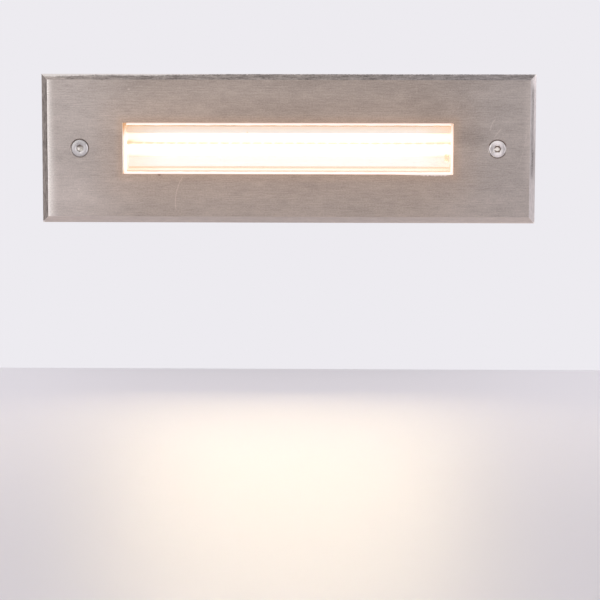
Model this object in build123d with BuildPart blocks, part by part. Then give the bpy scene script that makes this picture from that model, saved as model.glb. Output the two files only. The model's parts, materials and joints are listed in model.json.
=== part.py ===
from build123d import *
from math import hypot
import os

os.makedirs("parts", exist_ok=True)

# All lengths are in millimetres.
# X runs to the right as seen from the front, Y runs into the wall, Z runs up.
# The origin is the middle of the plate on the wall's face, so the wall begins at y = 0.

# Face plate
plate_width = 230.0
plate_height = 69.0
plate_thickness = 3.0
bevel_width = 2.8
bevel_depth = 2.0
window_side = 38.0
window_height = 23.8
window_corner = 0.4
window_width = plate_width - 2 * window_side

# Wall gasket
gasket_thickness = 1.0
gasket_inset = 2.0
gasket_band = 3.5
gasket_corner = 3.0
gasket_width = plate_width - 2 * gasket_inset
gasket_height = plate_height - 2 * gasket_inset
plate_back = -gasket_thickness
plate_front = plate_back - plate_thickness

# Glass stack, from the plate's back towards the wall
rim_show = 1.0
glass_margin = 5.0
glass_corner = 1.5
glass_edge = 0.3
glass_thickness = 4.0
front_seal_thickness = 1.5
rear_gasket_thickness = 1.0
rear_gasket_lip = 0.1
pocket_clearance = 0.5
pocket_shoulder = 2.5
pane_width = window_width + 2 * glass_margin
pane_height = window_height + 2 * glass_margin
pane_front = plate_back + front_seal_thickness
pane_back = pane_front + glass_thickness
pocket_width = pane_width + 2 * pocket_clearance
pocket_height = pane_height + 2 * pocket_clearance
pocket_floor = pane_back + rear_gasket_thickness
inside_width = pocket_width - 2 * pocket_shoulder
inside_height = pocket_height - 2 * pocket_shoulder

# Reflector, a folded white sheet
sheet = 0.8
tray_setback = 0.5
tray_depth = 8.2
tray_edge_gap = 0.4
tray_front = pocket_floor + tray_setback
tray_back = tray_front + tray_depth
tray_top = inside_height / 2 - tray_edge_gap
tray_end_inset = 0.5
tray_width = window_width - 2 * tray_end_inset
upper_fold_drop = 4.4
inner_fold_drop = 8.6
lower_inner_fold_rise = 2.8
lower_fold_rise = 1.7
upper_fold = window_height / 2 - upper_fold_drop
inner_fold = window_height / 2 - inner_fold_drop
lower_inner_fold = lower_inner_fold_rise - window_height / 2
lower_fold = lower_fold_rise - window_height / 2
end_cap_thickness = 1.2
tray_screw_inset = 15.0
tray_screw_lift = 2.1
tray_screw_x = inside_width / 2 - tray_screw_inset
tray_screw_z = inside_height / 2 - tray_screw_lift
tray_screw_radius = 1.0
tray_screw_hole = 1.05
tray_sheet_hole = 1.25
tray_screw_length = 8.0
tray_head_radius = 1.6
tray_head_height = 1.0
tray_slot_width = 0.5
tray_slot_depth = 0.4
boss_width = 7.0
boss_height = 3.7
boss_root = 1.0
boss_length = 12.0

# Board and LEDs
board_end_gap = 0.3
board_fold_gap = 0.7
board_thickness = 1.6
pad_thickness = 0.3
pad_inset = 0.5
board_width = tray_width - 2 * board_end_gap
board_height = inner_fold - lower_inner_fold - 2 * board_fold_gap
board_middle = (inner_fold + lower_inner_fold) / 2
board_back = tray_back - pad_thickness
board_front = board_back - board_thickness
led_pitch = 5.08
led_offset = 0.4
led_edge = 0.7
led_width = 2.8
led_height = 3.5
led_thickness = 0.7
led_rim = 0.3
led_recess = 0.4
phosphor_thickness = 0.35
led_drop = 3.3
led_z = inner_fold - led_drop
led_front = board_front - led_thickness
led_count = int((board_width - led_width - 2 * led_edge) / led_pitch) + 1

# Leads of the board
lead_radius = 0.6
lead_hole = 0.8
lead_bend = 3.0
lead_entry = 4.0
lead_inset = 1.6
lead_drop = 1.55
lead_pitch = 2.0
lead_x = board_width / 2 - lead_inset
red_z = led_z - led_height / 2 - lead_drop
black_z = red_z - lead_pitch
solder_radius = 0.9

# Driver
gear_gap = 10.0
driver_depth = 23.0
driver_side_gap = 14.0
driver_top_gap = 2.9
driver_pad_height = 5.0
driver_lid_thickness = 2.0
driver_lid_inset = 1.0
driver_lug_length = 7.0
driver_lug_thickness = 3.0
driver_lug_height = 12.0
driver_lug_hole = 1.7
driver_corner = 1.5
driver_screw_radius = 1.5
driver_screw_hole = 1.55
driver_screw_bite = 6.6
driver_head_radius = 2.75
driver_head_height = 2.0
driver_slot_width = 0.8
driver_slot_depth = 0.9
driver_pad_radius = 4.5
driver_front = tray_back + sheet + gear_gap
driver_back = driver_front + driver_depth
driver_height = inside_height - 2 * driver_top_gap
driver_lug_front = driver_back - driver_lug_thickness
driver_lead_inset = 8.0
driver_lead_y = driver_front + driver_lead_inset

# Lamp housing
casing_wall = 3.5
casing_floor_thickness = 3.0
casing_corner = 4.0
casing_round = 2.0
inside_corner = 1.5
casing_floor = driver_back + driver_pad_height
casing_back = casing_floor + casing_floor_thickness
casing_width = inside_width + 2 * casing_wall
casing_height = inside_height + 2 * casing_wall
collar_width = pocket_width + 2 * casing_wall
collar_height = pocket_height + 2 * casing_wall
collar_back = pocket_floor + pocket_shoulder
cooling_rib_thickness = 2.0
cooling_rib_height = 3.0
cooling_rib_end_gap = 4.0
cooling_rib_pitch = 12.0
cooling_rib_count = 13
cooling_rib_front = collar_back + cooling_rib_end_gap
cooling_rib_length = casing_back - cooling_rib_end_gap - cooling_rib_front

# Cable gland, M16
gland_thread = 8.0
gland_hole = 8.3
gland_washer_radius = 12.0
gland_washer_thickness = 1.0
gland_flats = 22.0
gland_hex = 4.0
gland_inside = 11.0
gland_locknut_height = 5.0
gland_locknut_bore = 8.05
gland_wire_bore = 4.5
gland_seat = 1.0
gland_collar_radius = 7.0
gland_collar_length = 8.0
gland_seal_radius = 5.6
gland_seal_gap = 0.05
gland_seal_bore = 3.5
gland_seal_setback = 1.2
gland_nut_flats = 20.0
gland_nut_skirt = 9.6
gland_nut_tip = 7.6
gland_nut_gap = 0.06
gland_nut_start = 1.0
gland_nut_length = 12.0
gland_nut_mouth = 5.0
gland_dome = 3.0
gland_tip = 4.0
gland_inset = 25.0
gland_x = gland_inset - inside_width / 2
gland_flange_front = casing_back + gland_washer_thickness
gland_hex_back = gland_flange_front + gland_hex
gland_collar_back = gland_hex_back + gland_collar_length
gland_front = casing_back - gland_inside
gland_seat_y = gland_flange_front + gland_seat
gland_nut_front = gland_hex_back + gland_nut_start
gland_nut_back = gland_nut_front + gland_nut_length
gland_seal_back = gland_nut_back - gland_seal_setback

# Driver's ends, between the gland and the right end of the housing
driver_gland_gap = 25.0
driver_left = gland_x + driver_gland_gap
driver_right = inside_width / 2 - driver_side_gap
driver_screw_left = driver_left - driver_lug_length / 2
driver_screw_right = driver_right + driver_lug_length / 2

# Terminal block, three poles along Y
block_length = 22.0
block_setback = 1.0
block_pitch = 6.0
block_height = 12.0
block_inset = 10.0
block_left = block_inset - inside_width / 2
block_right = block_left + block_length
block_middle_x = block_left + block_length / 2
block_front = driver_front + block_setback
block_depth = 3 * block_pitch
block_middle_y = block_front + block_depth / 2
block_floor = -inside_height / 2
block_top = block_floor + block_height
wire_radius = 0.9
wire_hole = 1.3
wire_bend = 2.0
wire_grip = 8.0
wire_straight = 3.0
wire_height = 5.4
wire_driver_height = 9.9
wire_z = block_floor + wire_height
wire_driver_z = block_floor + wire_driver_height
live_y = block_middle_y - block_pitch
neutral_y = block_middle_y
earth_y = block_middle_y + block_pitch
clamp_radius = 1.8
clamp_hole = 1.85
clamp_inset = 5.0
clamp_sink = 0.5
clamp_slot_width = 0.8
clamp_slot_depth = 0.7
clamp_tip = wire_z + wire_radius
clamp_top = block_top - clamp_sink
block_screw_radius = 1.25
block_screw_hole = 1.3
block_head_radius = 2.0
block_head_height = 1.2
block_counterbore = 2.3
block_counterbore_depth = 1.8
block_screw_bite = 2.6
block_slot_width = 0.6
block_slot_depth = 0.6
block_head_seat = block_top - block_counterbore_depth
tapped_end = 0.1

# Earth point on the floor of the housing
earth_ring_radius = 4.0
earth_ring_bore = 2.2
earth_lug_thickness = 0.8
earth_tongue = 3.0
earth_barrel_radius = 1.5
earth_barrel_bore = 0.95
earth_barrel_sink = 0.4
earth_barrel_length = 4.0
earth_screw_radius = 2.0
earth_screw_hole = 2.05
earth_screw_bite = 2.6
earth_head_radius = 3.4
earth_head_height = 2.4
earth_slot_width = 1.0
earth_slot_depth = 1.0
earth_driver_gap = 5.0
earth_head_gap = 0.3
earth_x = driver_left - earth_driver_gap
earth_barrel_right = earth_x - earth_head_radius - earth_head_gap
earth_barrel_left = earth_barrel_right - earth_barrel_length
earth_barrel_z = block_floor + earth_lug_thickness + earth_barrel_radius - earth_barrel_sink
earth_bend_gap = 0.6
earth_bend = block_right + earth_bend_gap
earth_drop = wire_z - earth_barrel_z

# Wall box and the grommet in its back, in line with the gland
box_gap = 1.0
box_wall = 2.0
box_corner = 3.0
box_round = 1.5
wiring_slack = 10.6
grommet_bore = 4.0
grommet_radius = 10.0
grommet_neck = 7.95
grommet_hole = 8.0
grommet_flange = 2.4
grommet_recess = 2.6
grommet_recess_gap = 0.5
grommet_boss_radius = 13.0
grommet_boss_height = 3.0
grommet_front = gland_nut_back + wiring_slack
grommet_panel_front = grommet_front + grommet_flange
box_floor = grommet_panel_front + grommet_boss_height
box_depth = box_floor + box_wall
grommet_panel_back = box_depth - grommet_recess
box_width = gasket_width - 2 * gasket_band - 2 * box_gap
box_height = gasket_height - 2 * gasket_band - 2 * box_gap
box_inner_width = box_width - 2 * box_wall
box_inner_height = box_height - 2 * box_wall
mortar_rib_height = 0.8
mortar_rib_width = 2.0
mortar_rib_first = 15.0
mortar_rib_pitch = 12.0
mortar_rib_count = 6
mortar_rib_length = box_width - 4 * box_corner
knockout_radius = 8.0
knockout_groove = 0.8
knockout_y = 55.0
knockout_z = 14.0
fixing_x = 70.0
fixing_radius = 2.25
fixing_pad_radius = 6.0
fixing_pad_height = 2.0

# Flange of the lamp housing, inside the mouth of the box
flange_side_gap = 3.5
flange_gap = 1.0
flange_thickness = 5.0
flange_corner = 4.0
flange_width = box_inner_width - 2 * flange_side_gap
flange_height = box_inner_height - 2 * flange_gap
flange_back = plate_back + flange_thickness

# Face screws, M4, and the threaded inserts they go into
screw_edge = 5.75
screw_radius = 2.0
screw_hole_radius = 2.25
countersink_radius = 4.5
countersink_angle = 90.0
countersink_gap = 0.07
head_radius = 3.9
head_land = 0.2
socket_flats = 3.0
socket_depth = 1.5
screw_length = 30.0
screw_tip = 0.5
screw_boss_front = 18.0
screw_boss_radius = 5.0
screw_boss_web = 3.0
insert_radius = 2.8
insert_length = 12.0
insert_bore = 2.05
insert_gap = 0.05
insert_relief = 2.3
insert_relief_length = 4.0
screw_x = flange_width / 2 - screw_edge
head_cone = plate_front + countersink_radius - countersink_gap
head_edge = head_cone - head_radius
head_front = head_edge - head_land
shank_start = head_cone - screw_radius
screw_end = head_front + screw_length

# Captive rings behind the flange
retainer_travel = 8.8
retainer_gap = 0.2
retainer_width = 2.0
retainer_radius = 4.0
retainer_slit = 1.2
groove_radius = 1.6
groove_side = 0.05
groove_bore = 0.06
retainer_front = flange_back + retainer_gap + retainer_travel
retainer_back = retainer_front + retainer_width
retainer_bore = groove_radius + groove_bore

# Plate studs, M3
stud_inset = 6.25
stud_edge = 8.0
stud_radius = 1.5
stud_hole_radius = 1.8
stud_tip = 0.3
stud_over = 1.2
stud_washer_radius = 3.0
stud_washer_bore = 1.6
stud_washer_thickness = 0.5
stud_nut_flats = 5.5
stud_nut_height = 2.4
stud_nut_bore = 1.55
stud_x = screw_x - stud_inset
stud_z = flange_height / 2 - stud_edge
stud_washer_back = flange_back + stud_washer_thickness
stud_end = stud_washer_back + stud_nut_height + stud_over

# Places that several pieces share, as (x, z) on planes that face the front
screw_places = [(-screw_x, 0), (screw_x, 0)]
stud_places = [(-stud_x, -stud_z), (stud_x, -stud_z), (-stud_x, stud_z), (stud_x, stud_z)]
tray_screw_places = [
    (-tray_screw_x, -tray_screw_z),
    (tray_screw_x, -tray_screw_z),
    (-tray_screw_x, tray_screw_z),
    (tray_screw_x, tray_screw_z),
]
driver_screw_places = [(driver_screw_left, 0), (driver_screw_right, 0)]
lead_places = [(lead_x, red_z), (lead_x, black_z)]
fixing_places = [(-fixing_x, 0), (fixing_x, 0)]

# Places on the floor of the housing, as (x, y)
clamp_places = [
    (x, y)
    for x in (block_left + clamp_inset, block_right - clamp_inset)
    for y in (live_y, neutral_y, earth_y)
]
block_screw_places = [
    (block_middle_x, block_middle_y - block_pitch / 2),
    (block_middle_x, block_middle_y + block_pitch / 2),
]


def mitred_strip(points, thickness):
    """Close a folded line of (y, z) points into a strip, with its other side moved towards the back."""
    normals = []
    for (y0, z0), (y1, z1) in zip(points, points[1:]):
        length = hypot(y1 - y0, z1 - z0)
        normals.append(((z0 - z1) / length, (y1 - y0) / length))
    corners = [normals[0]]
    for (y0, z0), (y1, z1) in zip(normals, normals[1:]):
        scale = 1 / (1 + y0 * y1 + z0 * z1)
        corners.append(((y0 + y1) * scale, (z0 + z1) * scale))
    corners.append(normals[-1])
    moved = [(y + thickness * ny, z + thickness * nz) for (y, z), (ny, nz) in zip(points, corners)]
    return points + moved[::-1]


def screw_outline(x):
    """Half section of a face screw at x, from its head to its tip."""
    return [
        (x, head_front),
        (x + head_radius, head_front),
        (x + head_radius, head_edge),
        (x + screw_radius, shank_start),
        (x + screw_radius, retainer_front - groove_side),
        (x + groove_radius, retainer_front - groove_side),
        (x + groove_radius, retainer_back + groove_side),
        (x + screw_radius, retainer_back + groove_side),
        (x + screw_radius, screw_end - screw_tip),
        (x + screw_radius - screw_tip, screw_end),
        (x, screw_end),
    ]


# Face plate
with BuildPart() as face_plate:
    with BuildSketch(Plane.XZ.offset(-plate_back)):
        Rectangle(plate_width, plate_height)
    extrude(amount=plate_thickness)
    plate_face = face_plate.faces().sort_by(Axis.Y)[0]
    chamfer(plate_face.edges(), length=bevel_width, length2=bevel_depth, reference=plate_face)
    with BuildSketch(Plane.XZ.offset(-plate_back)):
        RectangleRounded(window_width, window_height, window_corner)
    extrude(amount=plate_thickness, mode=Mode.SUBTRACT)
    with Locations(Plane.XZ.offset(-plate_front)):
        with Locations(*screw_places):
            CounterSinkHole(screw_hole_radius, countersink_radius, plate_thickness, countersink_angle)
face_plate.part.label = "face_plate"
export_step(face_plate.part, "parts/face_plate.step")

# Wall gasket
with BuildPart() as wall_gasket:
    with BuildSketch(Plane.XZ):
        RectangleRounded(gasket_width, gasket_height, gasket_corner + gasket_band)
        RectangleRounded(
            gasket_width - 2 * gasket_band,
            gasket_height - 2 * gasket_band,
            gasket_corner,
            mode=Mode.SUBTRACT,
        )
    extrude(amount=gasket_thickness)
wall_gasket.part.label = "wall_gasket"
export_step(wall_gasket.part, "parts/wall_gasket.step")

# Studs on the plate, with their washers and nuts
with BuildPart() as plate_studs:
    with BuildSketch(Plane.XZ.offset(-plate_back)):
        with Locations(*stud_places):
            Circle(stud_radius)
    extrude(amount=plate_back - stud_end)
    chamfer(plate_studs.faces().group_by(Axis.Y)[-1].edges(), length=stud_tip)
plate_studs.part.label = "plate_studs"
export_step(plate_studs.part, "parts/plate_studs.step")

with BuildPart() as stud_washers:
    with BuildSketch(Plane.XZ.offset(-flange_back)):
        with Locations(*stud_places):
            Circle(stud_washer_radius)
            Circle(stud_washer_bore, mode=Mode.SUBTRACT)
    extrude(amount=-stud_washer_thickness)
stud_washers.part.label = "stud_washers"
export_step(stud_washers.part, "parts/stud_washers.step")

with BuildPart() as stud_nuts:
    with BuildSketch(Plane.XZ.offset(-stud_washer_back)):
        with Locations(*stud_places):
            RegularPolygon(stud_nut_flats / 2, 6, major_radius=False)
            Circle(stud_nut_bore, mode=Mode.SUBTRACT)
    extrude(amount=-stud_nut_height)
stud_nuts.part.label = "stud_nuts"
export_step(stud_nuts.part, "parts/stud_nuts.step")

# Glass and its seals
with BuildPart() as glass_front_seal:
    with BuildSketch(Plane.XZ.offset(-plate_back)):
        RectangleRounded(pane_width, pane_height, glass_corner)
        RectangleRounded(
            window_width - 2 * rim_show,
            window_height - 2 * rim_show,
            window_corner + rim_show,
            mode=Mode.SUBTRACT,
        )
    extrude(amount=-front_seal_thickness)
    rim_edges = glass_front_seal.faces().sort_by(Axis.Y)[0].inner_wires()[0].edges()
    fillet(rim_edges, radius=rim_show / 2)
glass_front_seal.part.label = "glass_front_seal"
export_step(glass_front_seal.part, "parts/glass_front_seal.step")

with BuildPart() as glass_pane:
    with BuildSketch(Plane.XZ.offset(-pane_front)):
        RectangleRounded(pane_width, pane_height, glass_corner)
    extrude(amount=-glass_thickness)
    chamfer(glass_pane.faces().filter_by(Axis.Y).edges(), length=glass_edge)
glass_pane.part.label = "glass_pane"
export_step(glass_pane.part, "parts/glass_pane.step")

with BuildPart() as glass_rear_gasket:
    with BuildSketch(Plane.XZ.offset(-pane_back)):
        RectangleRounded(pane_width, pane_height, glass_corner)
        RectangleRounded(
            inside_width + 2 * rear_gasket_lip,
            inside_height + 2 * rear_gasket_lip,
            inside_corner,
            mode=Mode.SUBTRACT,
        )
    extrude(amount=-rear_gasket_thickness)
glass_rear_gasket.part.label = "glass_rear_gasket"
export_step(glass_rear_gasket.part, "parts/glass_rear_gasket.step")

# Lamp housing
with BuildPart() as lamp_housing:
    with BuildSketch(Plane.XZ.offset(-plate_back)):
        RectangleRounded(casing_width, casing_height, casing_corner)
    extrude(amount=plate_back - casing_back)
    fillet(lamp_housing.faces().sort_by(Axis.Y)[-1].edges(), radius=casing_round)
    with BuildSketch(Plane.XZ.offset(-plate_back)):
        RectangleRounded(flange_width, flange_height, flange_corner)
    extrude(amount=-flange_thickness)
    with BuildSketch(Plane.XZ.offset(-plate_back)):
        RectangleRounded(collar_width, collar_height, glass_corner + casing_wall)
    extrude(amount=plate_back - collar_back)
    with BuildSketch(Plane.XZ.offset(-cooling_rib_front)):
        with GridLocations(cooling_rib_pitch, 0, cooling_rib_count, 1):
            Rectangle(cooling_rib_thickness, casing_height + 2 * cooling_rib_height)
    extrude(amount=-cooling_rib_length)
    with BuildSketch(Plane.XZ.offset(-plate_back)):
        RectangleRounded(pocket_width, pocket_height, glass_corner + pocket_clearance)
    extrude(amount=plate_back - pocket_floor, mode=Mode.SUBTRACT)
    with BuildSketch(Plane.XZ.offset(-pocket_floor)):
        RectangleRounded(inside_width, inside_height, inside_corner)
    extrude(amount=pocket_floor - casing_floor, mode=Mode.SUBTRACT)
    with BuildSketch(Plane.XZ.offset(-tray_front - sheet)):
        with GridLocations(2 * tray_screw_x, inside_height - boss_height + boss_root, 2, 2):
            Rectangle(boss_width, boss_height + boss_root)
    extrude(amount=-boss_length)
    with BuildSketch(Plane.XZ.offset(-driver_back)):
        with Locations(*driver_screw_places):
            Circle(driver_pad_radius)
    extrude(amount=-driver_pad_height)
    with BuildSketch(Plane.XZ.offset(-plate_back)):
        with Locations(*screw_places):
            Circle(screw_hole_radius)
        with Locations(*stud_places):
            Circle(stud_hole_radius)
    extrude(amount=-flange_thickness, mode=Mode.SUBTRACT)
    with BuildSketch(Plane.XZ.offset(-tray_front - sheet)):
        with Locations(*tray_screw_places):
            Circle(tray_screw_hole)
    extrude(amount=-tray_screw_length - tapped_end, mode=Mode.SUBTRACT)
    with BuildSketch(Plane.XZ.offset(-driver_back)):
        with Locations(*driver_screw_places):
            Circle(driver_screw_hole)
    extrude(amount=-driver_screw_bite - tapped_end, mode=Mode.SUBTRACT)
    with BuildSketch(Plane.XZ.offset(-casing_floor)):
        with Locations((gland_x, 0)):
            Circle(gland_hole)
    extrude(amount=-casing_floor_thickness, mode=Mode.SUBTRACT)
    with BuildSketch(Plane.XY.offset(block_floor)):
        with Locations(*block_screw_places):
            Circle(block_screw_hole)
    extrude(amount=-block_screw_bite - tapped_end, mode=Mode.SUBTRACT)
    with BuildSketch(Plane.XY.offset(block_floor)):
        with Locations((earth_x, earth_y)):
            Circle(earth_screw_hole)
    extrude(amount=-earth_screw_bite - tapped_end, mode=Mode.SUBTRACT)
lamp_housing.part.label = "lamp_housing"
export_step(lamp_housing.part, "parts/lamp_housing.step")

# Reflector, its end caps and its screws
tray_line = [
    (tray_front, tray_top),
    (tray_front, upper_fold),
    (tray_back, inner_fold),
    (tray_back, lower_inner_fold),
    (tray_front, lower_fold),
    (tray_front, -tray_top),
]
with BuildPart() as reflector:
    with BuildSketch(Plane.YZ.offset(-tray_width / 2)):
        with BuildLine():
            Polyline(*mitred_strip(tray_line, sheet), close=True)
        make_face()
    extrude(amount=tray_width)
    with BuildSketch(Plane.XZ.offset(-tray_front)):
        with Locations(*tray_screw_places):
            Circle(tray_sheet_hole)
    extrude(amount=-sheet, mode=Mode.SUBTRACT)
    with BuildSketch(Plane.XZ.offset(-tray_back)):
        with Locations(*lead_places):
            Circle(lead_hole)
    extrude(amount=-sheet, mode=Mode.SUBTRACT)
reflector.part.label = "reflector"
export_step(reflector.part, "parts/reflector.step")

with BuildPart() as reflector_end_caps:
    with BuildSketch(Plane.XZ.offset(-tray_front)):
        with GridLocations(tray_width + end_cap_thickness, 0, 2, 1):
            Rectangle(end_cap_thickness, 2 * tray_top)
    extrude(amount=-tray_depth - sheet)
reflector_end_caps.part.label = "reflector_end_caps"
export_step(reflector_end_caps.part, "parts/reflector_end_caps.step")

with BuildPart() as reflector_screws:
    with BuildSketch(Plane.XZ.offset(-tray_front)):
        with Locations(*tray_screw_places):
            Circle(tray_screw_radius)
    extrude(amount=-sheet - tray_screw_length)
    with BuildSketch(Plane.XZ.offset(-tray_front)):
        with Locations(*tray_screw_places):
            Circle(tray_head_radius)
    extrude(amount=tray_head_height)
    with BuildSketch(Plane.XZ.offset(tray_head_height - tray_front)):
        with Locations(*tray_screw_places):
            Rectangle(2 * tray_head_radius, tray_slot_width)
    extrude(amount=-tray_slot_depth, mode=Mode.SUBTRACT)
reflector_screws.part.label = "reflector_screws"
export_step(reflector_screws.part, "parts/reflector_screws.step")

# LED board on its thermal pad
with BuildPart() as led_board:
    with BuildSketch(Plane.XZ.offset(-board_front)):
        with Locations((0, board_middle)):
            Rectangle(board_width, board_height)
        with Locations(*lead_places):
            Circle(lead_hole, mode=Mode.SUBTRACT)
    extrude(amount=-board_thickness)
led_board.part.label = "led_board"
export_step(led_board.part, "parts/led_board.step")

with BuildPart() as thermal_pad:
    with BuildSketch(Plane.XZ.offset(-board_back)):
        with Locations((0, board_middle)):
            Rectangle(board_width - 2 * pad_inset, board_height - 2 * pad_inset)
        with Locations(*lead_places):
            Circle(lead_hole, mode=Mode.SUBTRACT)
    extrude(amount=-pad_thickness)
thermal_pad.part.label = "thermal_pad"
export_step(thermal_pad.part, "parts/thermal_pad.step")

with BuildPart() as led_packages:
    with BuildSketch(Plane.XZ.offset(-board_front)):
        with Locations((led_offset, led_z)):
            with GridLocations(led_pitch, 0, led_count, 1):
                Rectangle(led_width, led_height)
    extrude(amount=led_thickness)
    with BuildSketch(Plane.XZ.offset(-led_front)):
        with Locations((led_offset, led_z)):
            with GridLocations(led_pitch, 0, led_count, 1):
                Rectangle(led_width - 2 * led_rim, led_height - 2 * led_rim)
    extrude(amount=-led_recess, mode=Mode.SUBTRACT)
led_packages.part.label = "led_packages"
export_step(led_packages.part, "parts/led_packages.step")

with BuildPart() as led_phosphors:
    with BuildSketch(Plane.XZ.offset(-led_front - led_recess)):
        with Locations((led_offset, led_z)):
            with GridLocations(led_pitch, 0, led_count, 1):
                Rectangle(led_width - 2 * led_rim, led_height - 2 * led_rim)
    extrude(amount=phosphor_thickness)
led_phosphors.part.label = "led_phosphors"
export_step(led_phosphors.part, "parts/led_phosphors.step")

with BuildPart() as solder_joints:
    with Locations((lead_x, board_front, red_z), (lead_x, board_front, black_z)):
        Sphere(solder_radius)
    split(bisect_by=Plane.XZ.offset(-board_front), keep=Keep.TOP)
solder_joints.part.label = "solder_joints"
export_step(solder_joints.part, "parts/solder_joints.step")

# Leads from the board to the driver
with BuildPart() as led_lead_red:
    with BuildLine():
        FilletPolyline(
            (lead_x, board_front, red_z),
            (lead_x, driver_lead_y, red_z),
            (driver_right - lead_entry, driver_lead_y, red_z),
            radius=lead_bend,
        )
    with BuildSketch(Plane((lead_x, board_front, red_z), z_dir=(0, 1, 0))):
        Circle(lead_radius)
    sweep()
led_lead_red.part.label = "led_lead_red"
export_step(led_lead_red.part, "parts/led_lead_red.step")

with BuildPart() as led_lead_black:
    with BuildLine():
        FilletPolyline(
            (lead_x, board_front, black_z),
            (lead_x, driver_lead_y, black_z),
            (driver_right - lead_entry, driver_lead_y, black_z),
            radius=lead_bend,
        )
    with BuildSketch(Plane((lead_x, board_front, black_z), z_dir=(0, 1, 0))):
        Circle(lead_radius)
    sweep()
led_lead_black.part.label = "led_lead_black"
export_step(led_lead_black.part, "parts/led_lead_black.step")

# Driver
with BuildPart() as driver_case:
    with BuildSketch(Plane.XZ.offset(-driver_front - driver_lid_thickness)):
        with Locations(((driver_left + driver_right) / 2, 0)):
            RectangleRounded(driver_right - driver_left, driver_height, driver_corner)
    extrude(amount=driver_lid_thickness - driver_depth)
    with BuildSketch(Plane.XZ.offset(-driver_lug_front)):
        with Locations(((driver_left + driver_right) / 2, 0)):
            Rectangle(driver_right - driver_left + 2 * driver_lug_length, driver_lug_height)
        with Locations(*driver_screw_places):
            Circle(driver_lug_hole, mode=Mode.SUBTRACT)
    extrude(amount=-driver_lug_thickness)
    with BuildSketch(Plane.YZ.offset(driver_left)):
        with Locations((live_y, wire_driver_z), (neutral_y, wire_driver_z)):
            Circle(wire_hole)
    extrude(amount=lead_entry, mode=Mode.SUBTRACT)
    with BuildSketch(Plane.YZ.offset(driver_right)):
        with Locations((driver_lead_y, red_z), (driver_lead_y, black_z)):
            Circle(lead_hole)
    extrude(amount=-lead_entry, mode=Mode.SUBTRACT)
driver_case.part.label = "driver_case"
export_step(driver_case.part, "parts/driver_case.step")

with BuildPart() as driver_lid:
    with BuildSketch(Plane.XZ.offset(-driver_front - driver_lid_thickness)):
        with Locations(((driver_left + driver_right) / 2, 0)):
            RectangleRounded(
                driver_right - driver_left - 2 * driver_lid_inset,
                driver_height - 2 * driver_lid_inset,
                driver_corner,
            )
    extrude(amount=driver_lid_thickness)
driver_lid.part.label = "driver_lid"
export_step(driver_lid.part, "parts/driver_lid.step")

with BuildPart() as driver_screws:
    with BuildSketch(Plane.XZ.offset(-driver_lug_front)):
        with Locations(*driver_screw_places):
            Circle(driver_screw_radius)
    extrude(amount=-driver_lug_thickness - driver_screw_bite)
    with BuildSketch(Plane.XZ.offset(-driver_lug_front)):
        with Locations(*driver_screw_places):
            Circle(driver_head_radius)
    extrude(amount=driver_head_height)
    with BuildSketch(Plane.XZ.offset(driver_head_height - driver_lug_front)):
        with Locations(*driver_screw_places):
            Rectangle(driver_slot_width, 2 * driver_head_radius)
    extrude(amount=-driver_slot_depth, mode=Mode.SUBTRACT)
driver_screws.part.label = "driver_screws"
export_step(driver_screws.part, "parts/driver_screws.step")

# Terminal block and its screws
with BuildPart() as terminal_block:
    with BuildSketch(Plane.XY.offset(block_floor)):
        with Locations((block_middle_x, block_middle_y)):
            Rectangle(block_length, block_depth)
        with Locations(*block_screw_places):
            Circle(block_screw_hole, mode=Mode.SUBTRACT)
    extrude(amount=block_height)
    with BuildSketch(Plane.XY.offset(block_top)):
        with Locations(*block_screw_places):
            Circle(block_counterbore)
    extrude(amount=-block_counterbore_depth, mode=Mode.SUBTRACT)
    with BuildSketch(Plane.XY.offset(block_top)):
        with Locations(*clamp_places):
            Circle(clamp_hole)
    extrude(amount=wire_z - block_top, mode=Mode.SUBTRACT)
    with BuildSketch(Plane.YZ.offset(block_left)):
        with Locations((live_y, wire_z), (neutral_y, wire_z), (earth_y, wire_z)):
            Circle(wire_hole)
    extrude(amount=block_length, mode=Mode.SUBTRACT)
terminal_block.part.label = "terminal_block"
export_step(terminal_block.part, "parts/terminal_block.step")

with BuildPart() as terminal_screws:
    with BuildSketch(Plane.XY.offset(clamp_tip)):
        with Locations(*clamp_places):
            Circle(clamp_radius)
    extrude(amount=clamp_top - clamp_tip)
    with BuildSketch(Plane.XY.offset(clamp_top)):
        with Locations(*clamp_places):
            Rectangle(2 * clamp_radius, clamp_slot_width)
    extrude(amount=-clamp_slot_depth, mode=Mode.SUBTRACT)
terminal_screws.part.label = "terminal_screws"
export_step(terminal_screws.part, "parts/terminal_screws.step")

with BuildPart() as terminal_fixings:
    with BuildSketch(Plane.XY.offset(block_head_seat)):
        with Locations(*block_screw_places):
            Circle(block_screw_radius)
    extrude(amount=block_floor - block_screw_bite - block_head_seat)
    with BuildSketch(Plane.XY.offset(block_head_seat)):
        with Locations(*block_screw_places):
            Circle(block_head_radius)
    extrude(amount=block_head_height)
    with BuildSketch(Plane.XY.offset(block_head_seat + block_head_height)):
        with Locations(*block_screw_places):
            Rectangle(2 * block_head_radius, block_slot_width)
    extrude(amount=-block_slot_depth, mode=Mode.SUBTRACT)
terminal_fixings.part.label = "terminal_fixings"
export_step(terminal_fixings.part, "parts/terminal_fixings.step")

# Leads from the terminal block to the driver
with BuildPart() as supply_lead_live:
    with BuildLine():
        FilletPolyline(
            (block_right - wire_grip, live_y, wire_z),
            (block_right + wire_straight, live_y, wire_z),
            (driver_left - wire_grip, live_y, wire_driver_z),
            (driver_left + lead_entry, live_y, wire_driver_z),
            radius=wire_bend,
        )
    with BuildSketch(Plane((block_right - wire_grip, live_y, wire_z), z_dir=(1, 0, 0))):
        Circle(wire_radius)
    sweep()
supply_lead_live.part.label = "supply_lead_live"
export_step(supply_lead_live.part, "parts/supply_lead_live.step")

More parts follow.
